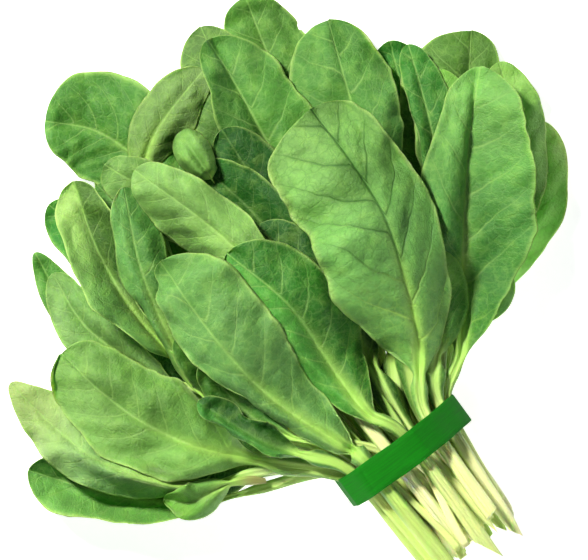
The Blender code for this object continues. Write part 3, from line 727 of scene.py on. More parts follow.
def widen(values, reach):
    """The highest value near each grid point."""
    for _ in range(reach):
        for axis in (0, 1):
            values = np.maximum(values, np.maximum(np.roll(values, -1, axis), np.roll(values, 1, axis)))
    return values


def ease_up(base, blade):
    """How far a leaf's blade has to rise where its underside would dip into the heap."""
    dip = np.maximum(heap[cells(base)] + ROOM - base[..., 2], 0.0) * blade
    return soften(widen(dip, 2), 4) * blade


def add_to_heap(top):
    """Raises the map to a leaf's upper side, with points between its own so that no cell is missed."""
    for _ in range(2):
        finer = np.empty((2 * len(top) - 1, *top.shape[1:]))
        finer[::2], finer[1::2] = top, (top[1:] + top[:-1]) / 2
        top = finer
    np.maximum.at(heap, cells(top), top[..., 2])


print("heap map:", heap.shape, "cells")

# %% [markdown]
# ## Colour of the flesh
#
# The slow changes of colour are painted on the mesh: pale stalks that turn green on the way up, a
# lighter margin, a tip that has begun to yellow, and on some leaves painted light and shade, one half
# lighter than the other. The material adds what is finer than the mesh.

# %% Colour of each point
STALK_NECK = linear("a4d264")
MARGIN = linear("b4d878")
FEET = ("eef4b4", "f6f9ca", "dcec98", "e8f2a6", "f2f6bc", "c6e07c")  # from white to green stalks
SHADE_GREENER = np.array([1.15, 0.85, 1.25])  # powers that turn a half painted darker, as painted shade, to a deeper green
PATCH, PATCH_STRONG = 16.0, 0.11  # size of lighter and darker patches in mm, and how much they differ
STREAK_STRONG = 0.06


def stalk_colour(foot, up):
    """From a foot's colour to the neck's, for shares of the way up the stalk."""
    return foot + (STALK_NECK - foot) * smooth((up - 0.35) / 0.65)


def blade_colour(sheet):
    """Linear colour of each grid point as if all of the leaf were blade."""
    look = sheet.look
    skin, tip = linear(look["skin"]), linear(look["tip"])
    colour = skin + (tip - skin) * smooth((np.clip(sheet.along, 0.0, 1.0)[:, None, None] - 0.35) / 0.65)
    patch = hills(sheet.x, sheet.y, PATCH, sheet.chance)[..., None]
    # Painted light and shade: one half of the leaf is painted lighter or darker than the other.
    left, right = look["halves"]
    half = left + (right - left) * smooth(sheet.x[..., None] / 3.0 + 0.5)
    colour = colour * (1.0 + PATCH_STRONG * patch) * half**SHADE_GREENER
    return colour + (MARGIN - colour) * look["rim"] * smooth((np.abs(sheet.u)[..., None] - 0.90) / 0.10)


def flesh(sheet):
    """Linear colour of each grid point, and how much of a stalk it is."""
    look, chance = sheet.look, sheet.chance
    colour = blade_colour(sheet)
    up = np.clip(sheet.rows / sheet.blade_from, 0.0, 1.0)[:, None]
    stalk = stalk_colour(linear(look["foot"] or FEET[chance.integers(len(FEET))]), up[..., None])
    stalk = stalk * (1.0 + STREAK_STRONG * hills(sheet.x * 6.0, sheet.y * 0.12, 5.0, chance)[..., None])
    # Blade begins at its foot, and before that on the wings beside a stalk's neck.
    foot = smooth((sheet.along[:, None] - 0.02 + 0.10 * np.abs(sheet.u)) / 0.16)
    winged = smooth((np.abs(sheet.x) - 1.9) / 1.5) * smooth((up - 0.25) / 0.4)
    blade = np.maximum(foot, winged)[..., None]
    # The midrib is a pale wedge that runs out about three quarters of the way up.
    along = np.clip(sheet.along, 0.0, 1.0)[:, None]
    wedge = np.exp(-((sheet.x / (3.2 - 2.2 * along)) ** 2)) * (1.0 - smooth(along / 0.75))
    wedge = 0.85 * min(1.0, look["show"] / DEFAULTS["show"]) * wedge[..., None]
    colour = colour + (STALK_NECK - colour) * wedge
    return stalk + (colour - stalk) * blade, 1.0 - blade[..., 0]


print("flesh of the sample:", flesh(sample)[0].mean(axis=(0, 1)).round(3), "in linear light")

# %% [markdown]
# ## Materials
#
# **Cut stalk and tying tape.** Neither is one flat colour. A cut stalk is wet, with pale strands in
# greener flesh. Tying tape is soft plastic, drawn out lengthwise, so it is matt with faint lines
# along it. Both come from one noise, stretched to the size of the grain along each axis. The tape's
# real lines are finer than 0.5 mm, but then they wouldn't show.

# %% Grained materials
RGBA, FLAT = {"data_type": "RGBA"}, {"noise_dimensions": "2D"}
GLOSS_SPREAD = 0.06  # how far roughness differs to either side


def grained(name, dark, light, grain, roughness, specular, relief):
    """A material whose colour, gloss and relief follow a grain of that size in mm along X, Y and Z."""
    made, tree, shader = new_material(name)
    add = partial(add_node, tree)
    scale = [1.0 / (size * MM) for size in grain]
    place = add("Mapping", Vector=add("TexCoord").outputs["Object"], Scale=scale)
    noise = add("TexNoise", Vector=place, Scale=1.0, Detail=3.0)
    share = add("MapRange", _0=noise, _1=0.32, _2=0.68)
    colour = add("Mix", RGBA, _0=share, _6=(*linear(dark), 1.0), _7=(*linear(light), 1.0)).outputs[2]
    gloss = add("MapRange", _0=share, _3=roughness - GLOSS_SPREAD, _4=roughness + GLOSS_SPREAD)
    bump = add("Bump", Strength=0.6, Distance=relief * MM, Height=share)
    tree.links.new(colour, shader.inputs["Base Color"])
    tree.links.new(gloss.outputs[0], shader.inputs["Roughness"])
    tree.links.new(bump.outputs[0], shader.inputs["Normal"])
    shader.inputs["Specular IOR Level"].default_value = specular
    return made


cut_flesh = grained("cut spinach stalk", "c4d486", "e9efba", (0.7, 3.0, 0.7), 0.42, 0.5, 0.15)
tape = grained("soft green tying tape", "086706", "0a7908", (12.0, 0.5, 12.0), 0.78, 0.15, 0.06)
print("materials:", [m.name for m in (cut_flesh, tape)])

# %% [markdown]
# **Spinach leaf.** A living skin with a thin wax layer over wet green flesh: satin, with a soft wide
# sheen. The eye looks for three sizes of vein, so the material draws them all: side veins where the
# vein number is whole, then a net of small veins about 5 mm wide, then a finer one. A net of 2 mm is
# coarser than the real one, which would be too fine to see.
#
# The drawing is done in sums, so the few kinds of sum get short names first.

# %% Large veins in the skin
TIMES, LESS, OVER = ({"operation": word} for word in ("MULTIPLY", "SUBTRACT", "DIVIDE"))
TIMES_PLUS, LARGER, POWER = ({"operation": word} for word in ("MULTIPLY_ADD", "MAXIMUM", "POWER"))
FRACTION, SIZE = {"operation": "FRACT"}, {"operation": "ABSOLUTE"}
CLAMPED = {"use_clamp": True}
VEIN_HALF, VEIN_THINS = 0.080, -0.040  # half width of a side vein in spacings, and its change to the margin
VEIN_SHADE_HALF = 1 / 5.5  # and that of the painted shade round it, in its groove


def large_veins(add, place, number, reach, blade, middle):
    """Nodes for how much of a large vein a point is, and how much of the painted shade in the groove beside
    one.
    """
    # The midrib: a line that thins out towards the tip, where its stored distance grows faster.
    midrib = add("Math", TIMES, _0=add("Math", LESS | CLAMPED, _0=1.0, _1=middle), _1=blade)
    # The side veins: how near the vein number is to a whole one, once it has strayed a little.
    stray = add("TexNoise", FLAT, Vector=place, Scale=0.10, Detail=2.0)
    part = add("Math", FRACTION, _0=add("Math", TIMES_PLUS, _0=stray, _1=0.20, _2=number))
    off = add("Math", SIZE, _0=add("Math", LESS, _0=part, _1=0.5))
    from_line = add("Math", LESS, _0=0.5, _1=off)
    width = add("Math", TIMES_PLUS, _0=reach, _1=VEIN_THINS, _2=VEIN_HALF)
    line = add("Math", LESS | CLAMPED, _0=1.0, _1=add("Math", OVER, _0=from_line, _1=width))
    line = add("Math", POWER, _0=line, _1=1.5)
    begun = add("Math", TIMES_PLUS | CLAMPED, _0=number, _1=1.6, _2=0.5)
    fading = add("Math", TIMES, _0=blade, _1=add("Math", TIMES_PLUS, _0=reach, _1=-0.7, _2=1.0))
    side_vein = add("Math", TIMES, _0=add("Math", TIMES, _0=line, _1=begun), _1=fading)
    # Painted shade in the groove beside a side vein.
    vein_shade = add("Math", LESS | CLAMPED, _0=1.0, _1=add("Math", TIMES, _0=from_line, _1=1 / VEIN_SHADE_HALF))
    fading = add("Math", TIMES, _0=blade, _1=add("Math", TIMES_PLUS | CLAMPED, _0=reach, _1=-0.8, _2=0.9))
    return add("Math", LARGER, _0=side_vein, _1=midrib), add("Math", TIMES, _0=vein_shade, _1=fading)


print("a side vein covers", round(2 * VEIN_HALF, 3), "of its spacing, its bed", round(2 * VEIN_SHADE_HALF, 3))

# %% [markdown]
# Between the large veins lies a net of small ones, and a finer net within it. Voronoi cells have such
# edges, once a noise has bent them.

# %% Nets of small veins
NETS = ((4.6, 0.13), (2.0, 0.20))  # width of a net's cells in mm, and of its veins as a share of them
EDGES = {"feature": "DISTANCE_TO_EDGE", "voronoi_dimensions": "2D"}
SOFT_EDGED = {"interpolation_type": "SMOOTHSTEP"}
NET_STRAY = (4.0, 4.0, 0.0)


def small_veins(add, place, blade):
    """Nodes for the two nets: the edges of random cells, bent a little."""
    stray = add("TexNoise", FLAT, Vector=place, Scale=0.30, Detail=3.0).outputs["Color"]
    moved = add("VectorMath", TIMES_PLUS, _0=stray, _1=NET_STRAY, _2=place)
    for size, edge in NETS:
        net = add("TexVoronoi", EDGES, Vector=moved, Scale=1.0 / size)
        near = add("MapRange", SOFT_EDGED, _0=net.outputs["Distance"], _1=0.0, _2=edge, _3=1.0, _4=0.0)
        yield add("Math", TIMES, _0=near, _1=blade)


print("nets of", " and ".join(f"{size} mm" for size, _ in NETS))

# %% [markdown]
# Between the veins lie islands of lighter, yellower flesh, and over it all a fine mottle. Beside a
# large vein the flesh is painted darker, as painted shade in its groove, most of all where the vein
# shows strongly. Seen from below the skin is paler, because air lies under it.

# %% Colour of the skin
NET_SHOWS = (0.28, 0.14)  # how strongly each net shows in colour
ISLAND_YELLOW = "93b458"
UNDERSIDE, UNDER_SHARE = "8fb36c", 0.35


def skin_colour(add, large, vein_shade, nets, island, mottle, blade, upper_side):
    """The node socket with the colour of the skin."""
    painted = add("Attribute", {"attribute_name": "flesh"})
    tone = add("Attribute", {"attribute_name": "vein_colour"})
    strength = tone.outputs["Alpha"]
    light = add("MapRange", {"clamp": False}, _0=island, _1=0.32, _2=0.68, _3=0.90, _4=1.12)
    fleck = add("MapRange", {"clamp": False}, _0=mottle, _1=0.3, _2=0.7, _3=0.94, _4=1.06)
    bright = add("Math", TIMES, _0=light, _1=fleck)
    # Painted shade beside the large veins, darker where a vein shows strongly.
    deep = add("Math", TIMES_PLUS, _0=strength, _1=-0.30, _2=-0.09)
    shade = add("Math", TIMES_PLUS, _0=vein_shade, _1=deep, _2=1.0)
    more = add("Math", LESS, _0=add("Math", TIMES, _0=bright, _1=shade), _1=1.0)
    bright = add("Math", TIMES_PLUS, _0=more, _1=blade, _2=1.0)
    lit = add("VectorMath", {"operation": "SCALE"}, _0=painted, Scale=bright)
    yellow = add("MapRange", _0=island, _1=0.5, _2=0.75, _3=0.0, _4=0.22)
    yellow = add("Math", TIMES, _0=yellow, _1=blade)
    warmed = add("Mix", RGBA, _0=yellow, _6=lit, _7=(*linear(ISLAND_YELLOW), 1.0)).outputs[2]
    first, second = (add("Math", TIMES, _0=net, _1=shows) for net, shows in zip(nets, NET_SHOWS))
    vein = add("Math", LARGER, _0=large, _1=add("Math", LARGER, _0=first, _1=second))
    share = add("Math", TIMES, _0=vein, _1=strength)
    skin = add("Mix", RGBA, _0=share, _6=warmed, _7=tone.outputs["Color"]).outputs[2]
    if upper_side:
        return skin
    return add("Mix", RGBA, _0=UNDER_SHARE, _6=skin, _7=(*linear(UNDERSIDE), 1.0)).outputs[2]


print("islands:", linear(ISLAND_YELLOW).round(3), "underside:", linear(UNDERSIDE).round(3))

# %% [markdown]
# Relief too fine for the mesh is bump: the veins lie in grooves above and stand out below, the islands
# swell, and a stalk has fine ribs along it.

# %% Fine relief of the skin
NET_DEPTHS = (0.22, 0.12)  # how deep each net lies, as a share of a large vein
STALK_RIBS = (1.6, 0.05, 1.0)  # ribs for each mm across a stalk and along it


def skin_relief(add, large, nets, island, place, blade, strength, upper_side):
    """The node that bends the surface."""
    grooves = add("Math", TIMES, _0=large, _1=strength)
    for net, depth in zip(nets, NET_DEPTHS):
        grooves = add("Math", TIMES_PLUS, _0=net, _1=depth, _2=grooves)
    grain = add("TexNoise", FLAT, Vector=place, Scale=1.3, Detail=4.0, Roughness=0.6)
    pillow = add("Math", TIMES_PLUS, _0=island, _1=1.2, _2=add("Math", TIMES, _0=grain, _1=0.7))
    height = add("Math", TIMES_PLUS, _0=grooves, _1=-1.0 if upper_side else 1.0, _2=pillow)
    drawn = add("Mapping", Vector=place, Scale=STALK_RIBS)
    ribs = add("TexNoise", FLAT, Vector=drawn, Scale=1.0, Detail=3.0)
    ribs = add("Math", TIMES, _0=ribs, _1=0.6)
    height = add("Mix", {"data_type": "FLOAT"}, _0=blade, _2=ribs, _3=height)
    return add("Bump", Strength=0.9, Distance=0.5 * MM, Height=height)


print("ribs along a stalk are about", round(1 / STALK_RIBS[0], 2), "mm wide")

# %% [markdown]
# The parts come together in one shader. The upper side has more wax and is glossier than the
# underside. A little light passes through the flesh, most of it green, and softens the shade.

# %% Leaf skin, upper side and underside
def leaf_skin(name, upper_side, low, high):
    """The skin of a leaf, with a roughness between low and high."""
    made, tree, shader = new_material(name)
    add = partial(add_node, tree)
    place = add("UVMap", {"uv_map": "Leaf"})
    veins = add("Attribute", {"attribute_name": "veins"}).outputs["Vector"]
    number, reach, blade = add("SeparateXYZ", Vector=veins).outputs
    middle = add("Attribute", {"attribute_name": "from_midrib"}).outputs["Fac"]
    strength = add("Attribute", {"attribute_name": "vein_colour"}).outputs["Alpha"]
    large, vein_shade = large_veins(add, place, number, reach, blade, middle)
    nets = list(small_veins(add, place, blade))
    island = add("TexNoise", FLAT, Vector=place, Scale=0.16, Detail=3.0, Roughness=0.55)
    mottle = add("TexNoise", FLAT, Vector=place, Scale=0.75, Detail=4.0, Roughness=0.65)
    colour = skin_colour(add, large, vein_shade, nets, island, mottle, blade, upper_side)
    bump = skin_relief(add, large, nets, island, place, blade, strength, upper_side)
    rough = add("MapRange", _0=mottle, _1=0.3, _2=0.7, _3=low, _4=high)
    tree.links.new(colour, shader.inputs["Base Color"])
    tree.links.new(bump.outputs[0], shader.inputs["Normal"])
    tree.links.new(rough.outputs[0], shader.inputs["Roughness"])
    shader.inputs["IOR"].default_value = 1.42
    shader.inputs["Specular IOR Level"].default_value = 0.3
    shader.inputs["Subsurface Weight"].default_value = 0.3
    shader.inputs["Subsurface Radius"].default_value = (0.6, 1.0, 0.2)
    shader.inputs["Subsurface Scale"].default_value = 1.2 * MM
    return made


skin_upper = leaf_skin("spinach leaf upper skin", True, 0.42, 0.60)
skin_under = leaf_skin("spinach leaf underside", False, 0.58, 0.72)
print("materials:", [m.name for m in (skin_upper, skin_under)])

# %% [markdown]
# ## The way round the band
#
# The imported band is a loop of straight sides. A smooth curve through its corners gives the same loop
# without them. It is worked out before the leaves are made, because the stalks must pass inside it.

# %% The band's loop
BAND_THICK = 1.0
BAND_STEPS = 260


def round_corners(loop, times):
    """Cuts every corner of a closed loop again and again, which leaves a smooth curve inside it."""
    for _ in range(times):
        after = np.roll(loop, -1, axis=0)
        loop = np.stack([0.75 * loop + 0.25 * after, 0.25 * loop + 0.75 * after], axis=1).reshape(-1, 2)
    return loop


def even_steps(loop, count):
    """The closed loop with evenly spaced points."""
    closed = np.vstack([loop, loop[:1]])
    run = np.r_[0.0, np.cumsum(np.linalg.norm(np.diff(closed, axis=0), axis=1))]
    at = np.linspace(0.0, run[-1], count, endpoint=False)
    return np.column_stack([np.interp(at, run, closed[:, axis]) for axis in (0, 1)])


def ways_out(loop):
    """Unit vectors out of a closed loop."""
    forward = np.roll(loop, -1, axis=0) - np.roll(loop, 1, axis=0)
    forward /= np.linalg.norm(forward, axis=1, keepdims=True)
    return np.column_stack([forward[:, 1], -forward[:, 0]])


def packed_band():
    """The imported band's outer corners, in order round the stalks, and its front and back edge."""
    points = np.array([v.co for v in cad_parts["band"].data.vertices]) / MM
    levels = np.unique(np.round(points[:, 1], 2))
    ring = points[np.abs(points[:, 1] - levels[1]) < 0.02][:, [0, 2]]
    ring = np.unique(np.round(ring, 3), axis=0)
    way = ring - ring.mean(axis=0)
    return ring[np.argsort(np.arctan2(way[:, 1], way[:, 0]))], levels[0], levels[-1]


corners, band_front, band_back = packed_band()
loop = even_steps(round_corners(corners, 4), BAND_STEPS)
outward = ways_out(loop)
print("band:", len(corners), "corners, from y", band_front, "to", band_back, "mm")

# %% [markdown]
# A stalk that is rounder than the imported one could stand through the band. It is moved in just there
# and bends back over a few centimetres, as a stalk under a tight tape does.

# %% Stalks inside the band
BAND_ROOM = 0.2  # clear of its inner face, in mm
NEAR_BAND = 2.0
DRAWN_OVER = 20.0  # a stalk that is drawn in bends over such a length to either side, in mm


def draw_in(top, base, sheet):
    """Draws a stalk in where it would stand through the band, up to three times."""
    y = (top[:, 0, 1] + top[:, -1, 1]) / 2
    there = (sheet.along < 0.0) & (y > band_front - NEAR_BAND) & (y < band_back + NEAR_BAND)
    if not there.any():
        return
    fade = np.exp(-(((sheet.rows - sheet.rows[there].mean()) / DRAWN_OVER) ** 2))[:, None]
    for _ in range(3):
        points = np.concatenate([top[there], base[there]]).reshape(-1, 3)[:, [0, 2]]
        beyond = np.einsum("knd,kd->kn", points[None] - loop[:, None], outward)
        k = np.argmax(beyond.max(axis=1))
        excess = beyond[k].max() + BAND_THICK + BAND_ROOM
        if excess <= 0.0:
            return
        for surface in (top, base):
            surface[..., 0] -= excess * outward[k, 0] * fade
            surface[..., 2] -= excess * outward[k, 1] * fade


print("stalks stay", BAND_THICK + BAND_ROOM, "mm inside the loop of the band")

# %% [markdown]
# ## Building the mesh of a leaf
#
# The upper and lower grids share their edge columns, and a narrow strip closes each end, so every
# leaf is one closed skin.


# %% Faces of a leaf
def leaf_faces(rows, count):
    """Quads of the upper side, the lower side and the two end strips, as point numbers."""
    top = np.arange(rows * count).reshape(rows, count)
    base = top.copy()
    base[:, 1:-1] = rows * count + np.arange(rows * (count - 2)).reshape(rows, count - 2)
    quads = []
    for grid, flip in ((top, False), (base, True)):
        a, b, c, d = grid[:-1, :-1], grid[:-1, 1:], grid[1:, 1:], grid[1:, :-1]
        corners = (a, d, c, b) if flip else (a, b, c, d)
        quads.append(np.stack(corners, axis=-1).reshape(-1, 4).tolist())
    strips = []
    for row, flip in ((0, False), (rows - 1, True)):
        for j in range(count - 1):
            ring = [int(v) for v in (top[row, j], base[row, j], base[row, j + 1], top[row, j + 1])]
            ring = [v for k, v in enumerate(ring) if v not in ring[:k]]
            strips.append(ring[::-1] if flip else ring)
    return *quads, strips


print("a grid of 3 by 3 gives", [len(part) for part in leaf_faces(3, 3)], "faces")

# %% [markdown]
# What the materials read is stored on the mesh: numbers at its points as attributes, and each point's
# place on the leaf in mm as its UV. An image would need no numbers, but all leaves would look alike.

# %% Closed skin with its marks
UPPER, UNDER, CUT = 0, 1, 2  # the skin's material slots
MARKS = {  # what the materials read, and how a mesh stores it
    "veins": ("FLOAT_VECTOR", "vector"),
    "flesh": ("FLOAT_COLOR", "color"),
    "vein_colour": ("FLOAT_COLOR", "color"),
    "from_midrib": ("FLOAT", "value"),
}
APART, AROUND = 61.7, 400  # each leaf takes its patterns from another place, in mm


def skin_piece(name, top, base, marks, seed):
    """A closed skin over an upper and a lower grid, with the marks that its materials read."""
    rows, count = top.shape[:2]

    def both(upper, lower):
        """A value for each point of the upper grid and then for each inner one of the lower grid."""
        inner = lower[:, 1:-1].reshape(rows * (count - 2), -1)
        return np.concatenate([upper.reshape(rows * count, -1), inner]).astype(np.float32)

    upper_faces, lower_faces, strips = leaf_faces(rows, count)
    faces = upper_faces + lower_faces + strips
    mesh = bpy.data.meshes.new(name)
    mesh.from_pydata(both(top * MM, base * MM).tolist(), [], faces)
    for material in (skin_upper, skin_under, cut_flesh):
        mesh.materials.append(material)
    # The strip at the tip is skin as well: only the foot is cut.
    slots = np.repeat([UPPER, UNDER, CUT, UPPER], [len(upper_faces), len(lower_faces), count - 1, count - 1])
    mesh.polygons.foreach_set("material_index", slots)
    mesh.polygons.foreach_set("use_smooth", slots != CUT)
    corners = np.zeros(len(mesh.loops), int)
    mesh.loops.foreach_get("vertex_index", corners)
    place = both(marks["place"], marks["place"])[corners] + np.float32((seed * APART) % AROUND)
    mesh.uv_layers.new(name="Leaf").uv.foreach_set("vector", place.ravel())
    for mark, (kind, key) in MARKS.items():
        layer = mesh.attributes.new(mark, kind, "POINT")
        layer.data.foreach_set(key, both(marks[mark], marks[mark]).ravel())
    mesh.validate()
    piece = add_object(name, mesh)
    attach(piece, "root")
    return piece, 2 * len(faces)


print("a skin carries:", ", ".join(MARKS))

# %% [markdown]
# A leaf is made in the order in which it would grow and be packed: its sheet, its veins, its relief,
# its thickness with the midrib below, its place inside the band and on the heap, and its colours.

# %% Building a leaf
BLADE_MADE = 0.35  # thickness of a blade in mm
RIB_DEPTH, RIB_HALF = 1.5, 1.6  # depth of the midrib below the blade at its foot, and its half width, in mm
MIDRIB_TIP, MIDRIB_FOOT = 0.55, 1.1  # half width of its line at the tip, and how much wider at the foot
STATIONS = np.arange(-122.0, -50.0, 6.0)  # where the bundle of stalks is measured, in mm along it
taken = []  # x, z and half width of each stalk at the stations


def shaped(sheet, number):
    """Upper and lower surface of a leaf with its relief and thickness."""
    inner = smooth((sheet.along + 0.03) / 0.16)[:, None]
    top = sheet.top + normals_of(sheet.top) * (relief_out(sheet, number) * inner)[..., None]
    top[..., 2] += relief_up(sheet) * inner
    to_tip = np.clip(1.0 - sheet.along, 0.0, 1.0)[:, None]
    thick = BLADE_MADE + RIB_DEPTH * np.exp(-((sheet.x / RIB_HALF) ** 2)) * to_tip
    bladed = smooth((sheet.along + 0.02) / 0.14)[:, None, None]
    base = sheet.base * (1.0 - bladed) + (top - normals_of(top) * thick[..., None]) * bladed
    base[:, 0], base[:, -1] = top[:, 0], top[:, -1]
    return top, base


def marks_of(sheet, number):
    """What the materials read from a leaf. Its veins pale towards the stalk."""
    look = sheet.look
    colour, stalk = flesh(sheet)
    whole = np.ones((*number.shape, 1))
    paled = 1.0 - smooth((sheet.along - 0.12) / 0.35)[:, None, None] * whole
    vein = linear(look["vein"])
    to_tip = np.clip(1.0 - sheet.along, 0.0, 1.0)[:, None]
    return {
        "place": np.stack([sheet.x, sheet.y], axis=-1),
        "veins": np.stack([number, np.abs(sheet.u), 1.0 - stalk], axis=-1),
        "flesh": np.concatenate([colour, stalk[..., None]], axis=-1),
        "vein_colour": np.concatenate([vein + (STALK_NECK - vein) * paled, look["show"] * whole], axis=-1),
        "from_midrib": np.abs(sheet.x) / (MIDRIB_TIP + MIDRIB_FOOT * to_tip),
    }


def note_stalk(top, sheet):
    """Keeps where a stalk runs, for the stalks that fill the bundle."""
    left, right = top[sheet.along < 0.0][:, [0, -1]].transpose(1, 0, 2)
    middle = (left + right) / 2
    if middle[0, 1] < STATIONS[2]:
        half = np.linalg.norm(right - left, axis=1) / 2
        taken.append([np.interp(STATIONS, middle[:, 1], run) for run in (middle[:, 0], middle[:, 2], half)])


def build_leaf(name, look, seed):
    """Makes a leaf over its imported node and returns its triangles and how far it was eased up."""
    sheet = Sheet(name, look, np.random.default_rng(seed))
    number = vein_number(sheet)
    top, base = shaped(sheet, number)
    draw_in(top, base, sheet)
    lift = ease_up(base, smooth((sheet.along + 0.06) / 0.15)[:, None])
    top[..., 2] += lift
    base[..., 2] += lift
    add_to_heap(top)
    note_stalk(top, sheet)
    piece, triangles = skin_piece(name + "_skin", top, base, marks_of(sheet, number), seed)
    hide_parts(name)
    return triangles, float(lift.max())


print("stations along the bundle:", len(STATIONS))

# %% [markdown]
# A seed of its own makes each leaf unlike the others, and the same on every run.

# %% All leaves, lowest first
LEAF_SEEDS, INNER_SEEDS = 200, 300  # the first of each
total = 0
for seed, (name, look) in enumerate(LEAVES, LEAF_SEEDS):
    triangles, lift = build_leaf(name, look, seed)
    total += triangles
    print(f"{name}: {triangles} triangles, eased up by at most {lift:.1f} mm")
print("triangles in all leaves:", total)

# %% [markdown]
# ## Stalks inside the bundle
#
# A real bunch has many small leaves whose blades never show, but their stalks fill the bundle. Each
# is laid in the widest gap that is left between the others, as thick as the gap allows. Thousands of
# random ways through the bundle are tried, which is quicker than working out the best one.

# %% Ways through the bundle
TRIES = 4000
FOOT_X, FOOT_Z = (-22.0, 22.0), (3.0, 46.0)  # where a way may begin, in mm
DRIFT_X, DRIFT_Z = (-9.0, 9.0), (-12.0, 6.0)  # and how far it may stray from there
FANS_OUT = 1.3  # how much further apart the stalks lie at the leaves
chance = np.random.default_rng(31)
foot_x, foot_z = chance.uniform(*FOOT_X, TRIES), chance.uniform(*FOOT_Z, TRIES)
end_x, end_z = foot_x * FANS_OUT + chance.uniform(*DRIFT_X, TRIES), foot_z + chance.uniform(*DRIFT_Z, TRIES)
share = (STATIONS - STATIONS[0]) / (STATIONS[-1] - STATIONS[0])
ways_x = foot_x[:, None] + (end_x - foot_x)[:, None] * share
ways_z = foot_z[:, None] + (end_z - foot_z)[:, None] * share


def inside(station):
    """Which ways run among the stalks there: seen from them, the stalks leave no half circle free."""
    across = ways_x[:, station, None] - np.array(taken)[None, :, 0, station]
    above = ways_z[:, station, None] - np.array(taken)[None, :, 1, station]
    angles = np.sort(np.arctan2(above, across), axis=1)
    gaps = np.diff(np.c_[angles, angles[:, 0] + 2 * math.pi], axis=1)
    return gaps.max(axis=1) < 0.95 * math.pi


def room_left():
    """The narrowest half gap along each way."""
    x, z, half = np.moveaxis(np.array(taken), 1, 0)
    apart = np.hypot(ways_x[:, None] - x[None], ways_z[:, None] - z[None]) - half[None]
    return np.minimum(apart.min(axis=(1, 2)), ways_z.min(axis=1) - 0.3)


within = inside(1) & inside(7)  # near the cut ends and behind the band
print("ways inside the bundle:", int(within.sum()), "of", TRIES)

# %% [markdown]
# Only the cut ends and a few centimetres of these stalks show, so a plain one that tapers will do.

# %% An inner stalk
INNER_ROWS, INNER_COLUMNS = 30, 13
INNER_LONG = 72.0
FIRST, LAST = -6.0, 1.0  # how far before or after the first station it is cut, in mm
SWAY, SWAYS = 0.5, 7.0  # how far it sways in mm, and how fast


def inner_stalk(k, x, z, half):
    """A plain stalk from its cut end to where it is lost under the leaves."""
    run = np.linspace(0.0, 1.0, INNER_ROWS)
    y = STATIONS[0] + chance.uniform(FIRST, LAST) + run * INNER_LONG
    path = np.column_stack([np.interp(y, STATIONS, x), y, np.interp(y, STATIONS, z)])
    path[:, 0] += SWAY * np.sin(run * SWAYS + chance.uniform(0.0, 6.0))
    wide = half * (1.0 - 0.3 * run) * np.sqrt(np.minimum(1.0, (1.0 - run) * 6.0 + 0.05))
    u = columns(INNER_COLUMNS, 0.0)
    top, base = (
        path[:, None] + wide[:, None, None] * np.column_stack([u, 0.0 * u, rise]) for rise in stalk_section(u)
    )
    foot = linear(FEET[chance.integers(len(FEET))])
    flat = np.ones((INNER_ROWS, INNER_COLUMNS, 1))
    marks = {
        "place": np.concatenate([half * u[:, None] * flat, y[:, None, None] * flat], axis=-1),
        "veins": np.concatenate([0.0 * flat, np.abs(u)[:, None] * flat, 0.0 * flat], axis=-1),
        "flesh": np.concatenate([stalk_colour(foot, run[:, None, None]) * flat, flat], axis=-1),
        "vein_colour": np.concatenate([STALK_NECK * flat, 0.3 * flat], axis=-1),
        "from_midrib": 9.0 * flat,
    }
    piece, triangles = skin_piece(f"inner_stalk_{k + 1}", top, base, marks, INNER_SEEDS + k)
    return triangles


print("an inner stalk has", 2 * (INNER_COLUMNS - 1), "points round it")

# %% [markdown]
# Each new stalk takes up room, so the widest gap is looked for again after each.

# %% Filling the bundle
FILL = 34  # at most so many
THINNEST, THICKEST = 0.7, 2.7  # half widths in mm
SQUEEZE = 0.5  # how far a stalk presses into its neighbours, in mm
added = []
while len(added) < FILL:
    room = np.where(within, room_left(), -1.0)
    best = int(np.argmax(room))
    if room[best] < THINNEST:
        break
    half = min(THICKEST, float(room[best]) + SQUEEZE)
    added.append(inner_stalk(len(added), ways_x[best], ways_z[best], half))
    taken.append([ways_x[best], ways_z[best], np.full(len(STATIONS), half)])
print("inner stalks:", len(added), "with", sum(added), "triangles, the last", round(2 * half, 1), "mm wide")

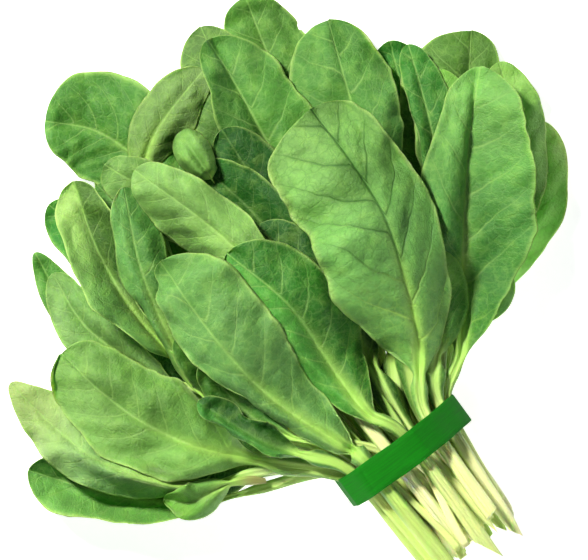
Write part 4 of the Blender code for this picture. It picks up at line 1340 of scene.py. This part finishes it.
# %% [markdown]
# ## The band
#
# A flat strip of soft green tying tape, pulled tight round the stalks. It could be a bent box, but a
# section with rounded edges, carried along the loop, catches the light at its rim as tape does. It
# sways a little sideways and gives a little over the stalks.

# %% Band
SECTION_STEPS = 28
MADE_WIDE = 0.985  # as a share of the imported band
SIDEWAYS, SWAY_WAVES = (0.1, 0.3), (2, 3, 5, 8)  # least and most of each wave in mm, and waves in the loop
GIVES, GIVE_WAVES = (0.03, 0.09), (7, 11, 17)
turns = np.linspace(0.0, 2 * math.pi, SECTION_STEPS, endpoint=False)
flat_half = (band_back - band_front - BAND_THICK) / 2
section_y = np.sign(np.cos(turns)) * flat_half * np.minimum(1.0, np.abs(np.cos(turns)) * 3.0)
section_y += np.cos(turns) * BAND_THICK / 2
section_out = (np.sin(turns) - 1.0) * BAND_THICK / 2
chance = np.random.default_rng(77)
round_way = np.linspace(0.0, 2 * math.pi, BAND_STEPS, endpoint=False)


def waves(limits, counts):
    """Soft waves once round the loop."""
    return sum(chance.uniform(*limits) * np.sin(k * round_way + chance.uniform(0, 6)) for k in counts)


sway = 0.4 * waves(SIDEWAYS, SWAY_WAVES)
give = waves(GIVES, GIVE_WAVES)
out = section_out - 0.1 + give[:, None]
points = np.zeros((BAND_STEPS, SECTION_STEPS, 3))
points[..., ::2] = loop[:, None] + outward[:, None] * out[..., None]
points[..., 1] = (band_front + band_back) / 2 + MADE_WIDE * section_y + sway[:, None]
numbers = np.arange(BAND_STEPS * SECTION_STEPS).reshape(BAND_STEPS, SECTION_STEPS)
beside, after = np.roll(numbers, -1, axis=1), np.roll(numbers, -1, axis=0)
faces = np.stack([numbers, beside, np.roll(after, -1, axis=1), after], axis=-1).reshape(-1, 4)
mesh = bpy.data.meshes.new("band_strip")
mesh.from_pydata((points.reshape(-1, 3) * MM).tolist(), [], faces.tolist())
mesh.shade_smooth()
mesh.materials.append(tape)
strip = add_object("band_strip", mesh)
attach(strip, "root")
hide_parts("band")
print("band:", len(faces), "quads")

# %% [markdown]

# %% End
print("the bunch is made")
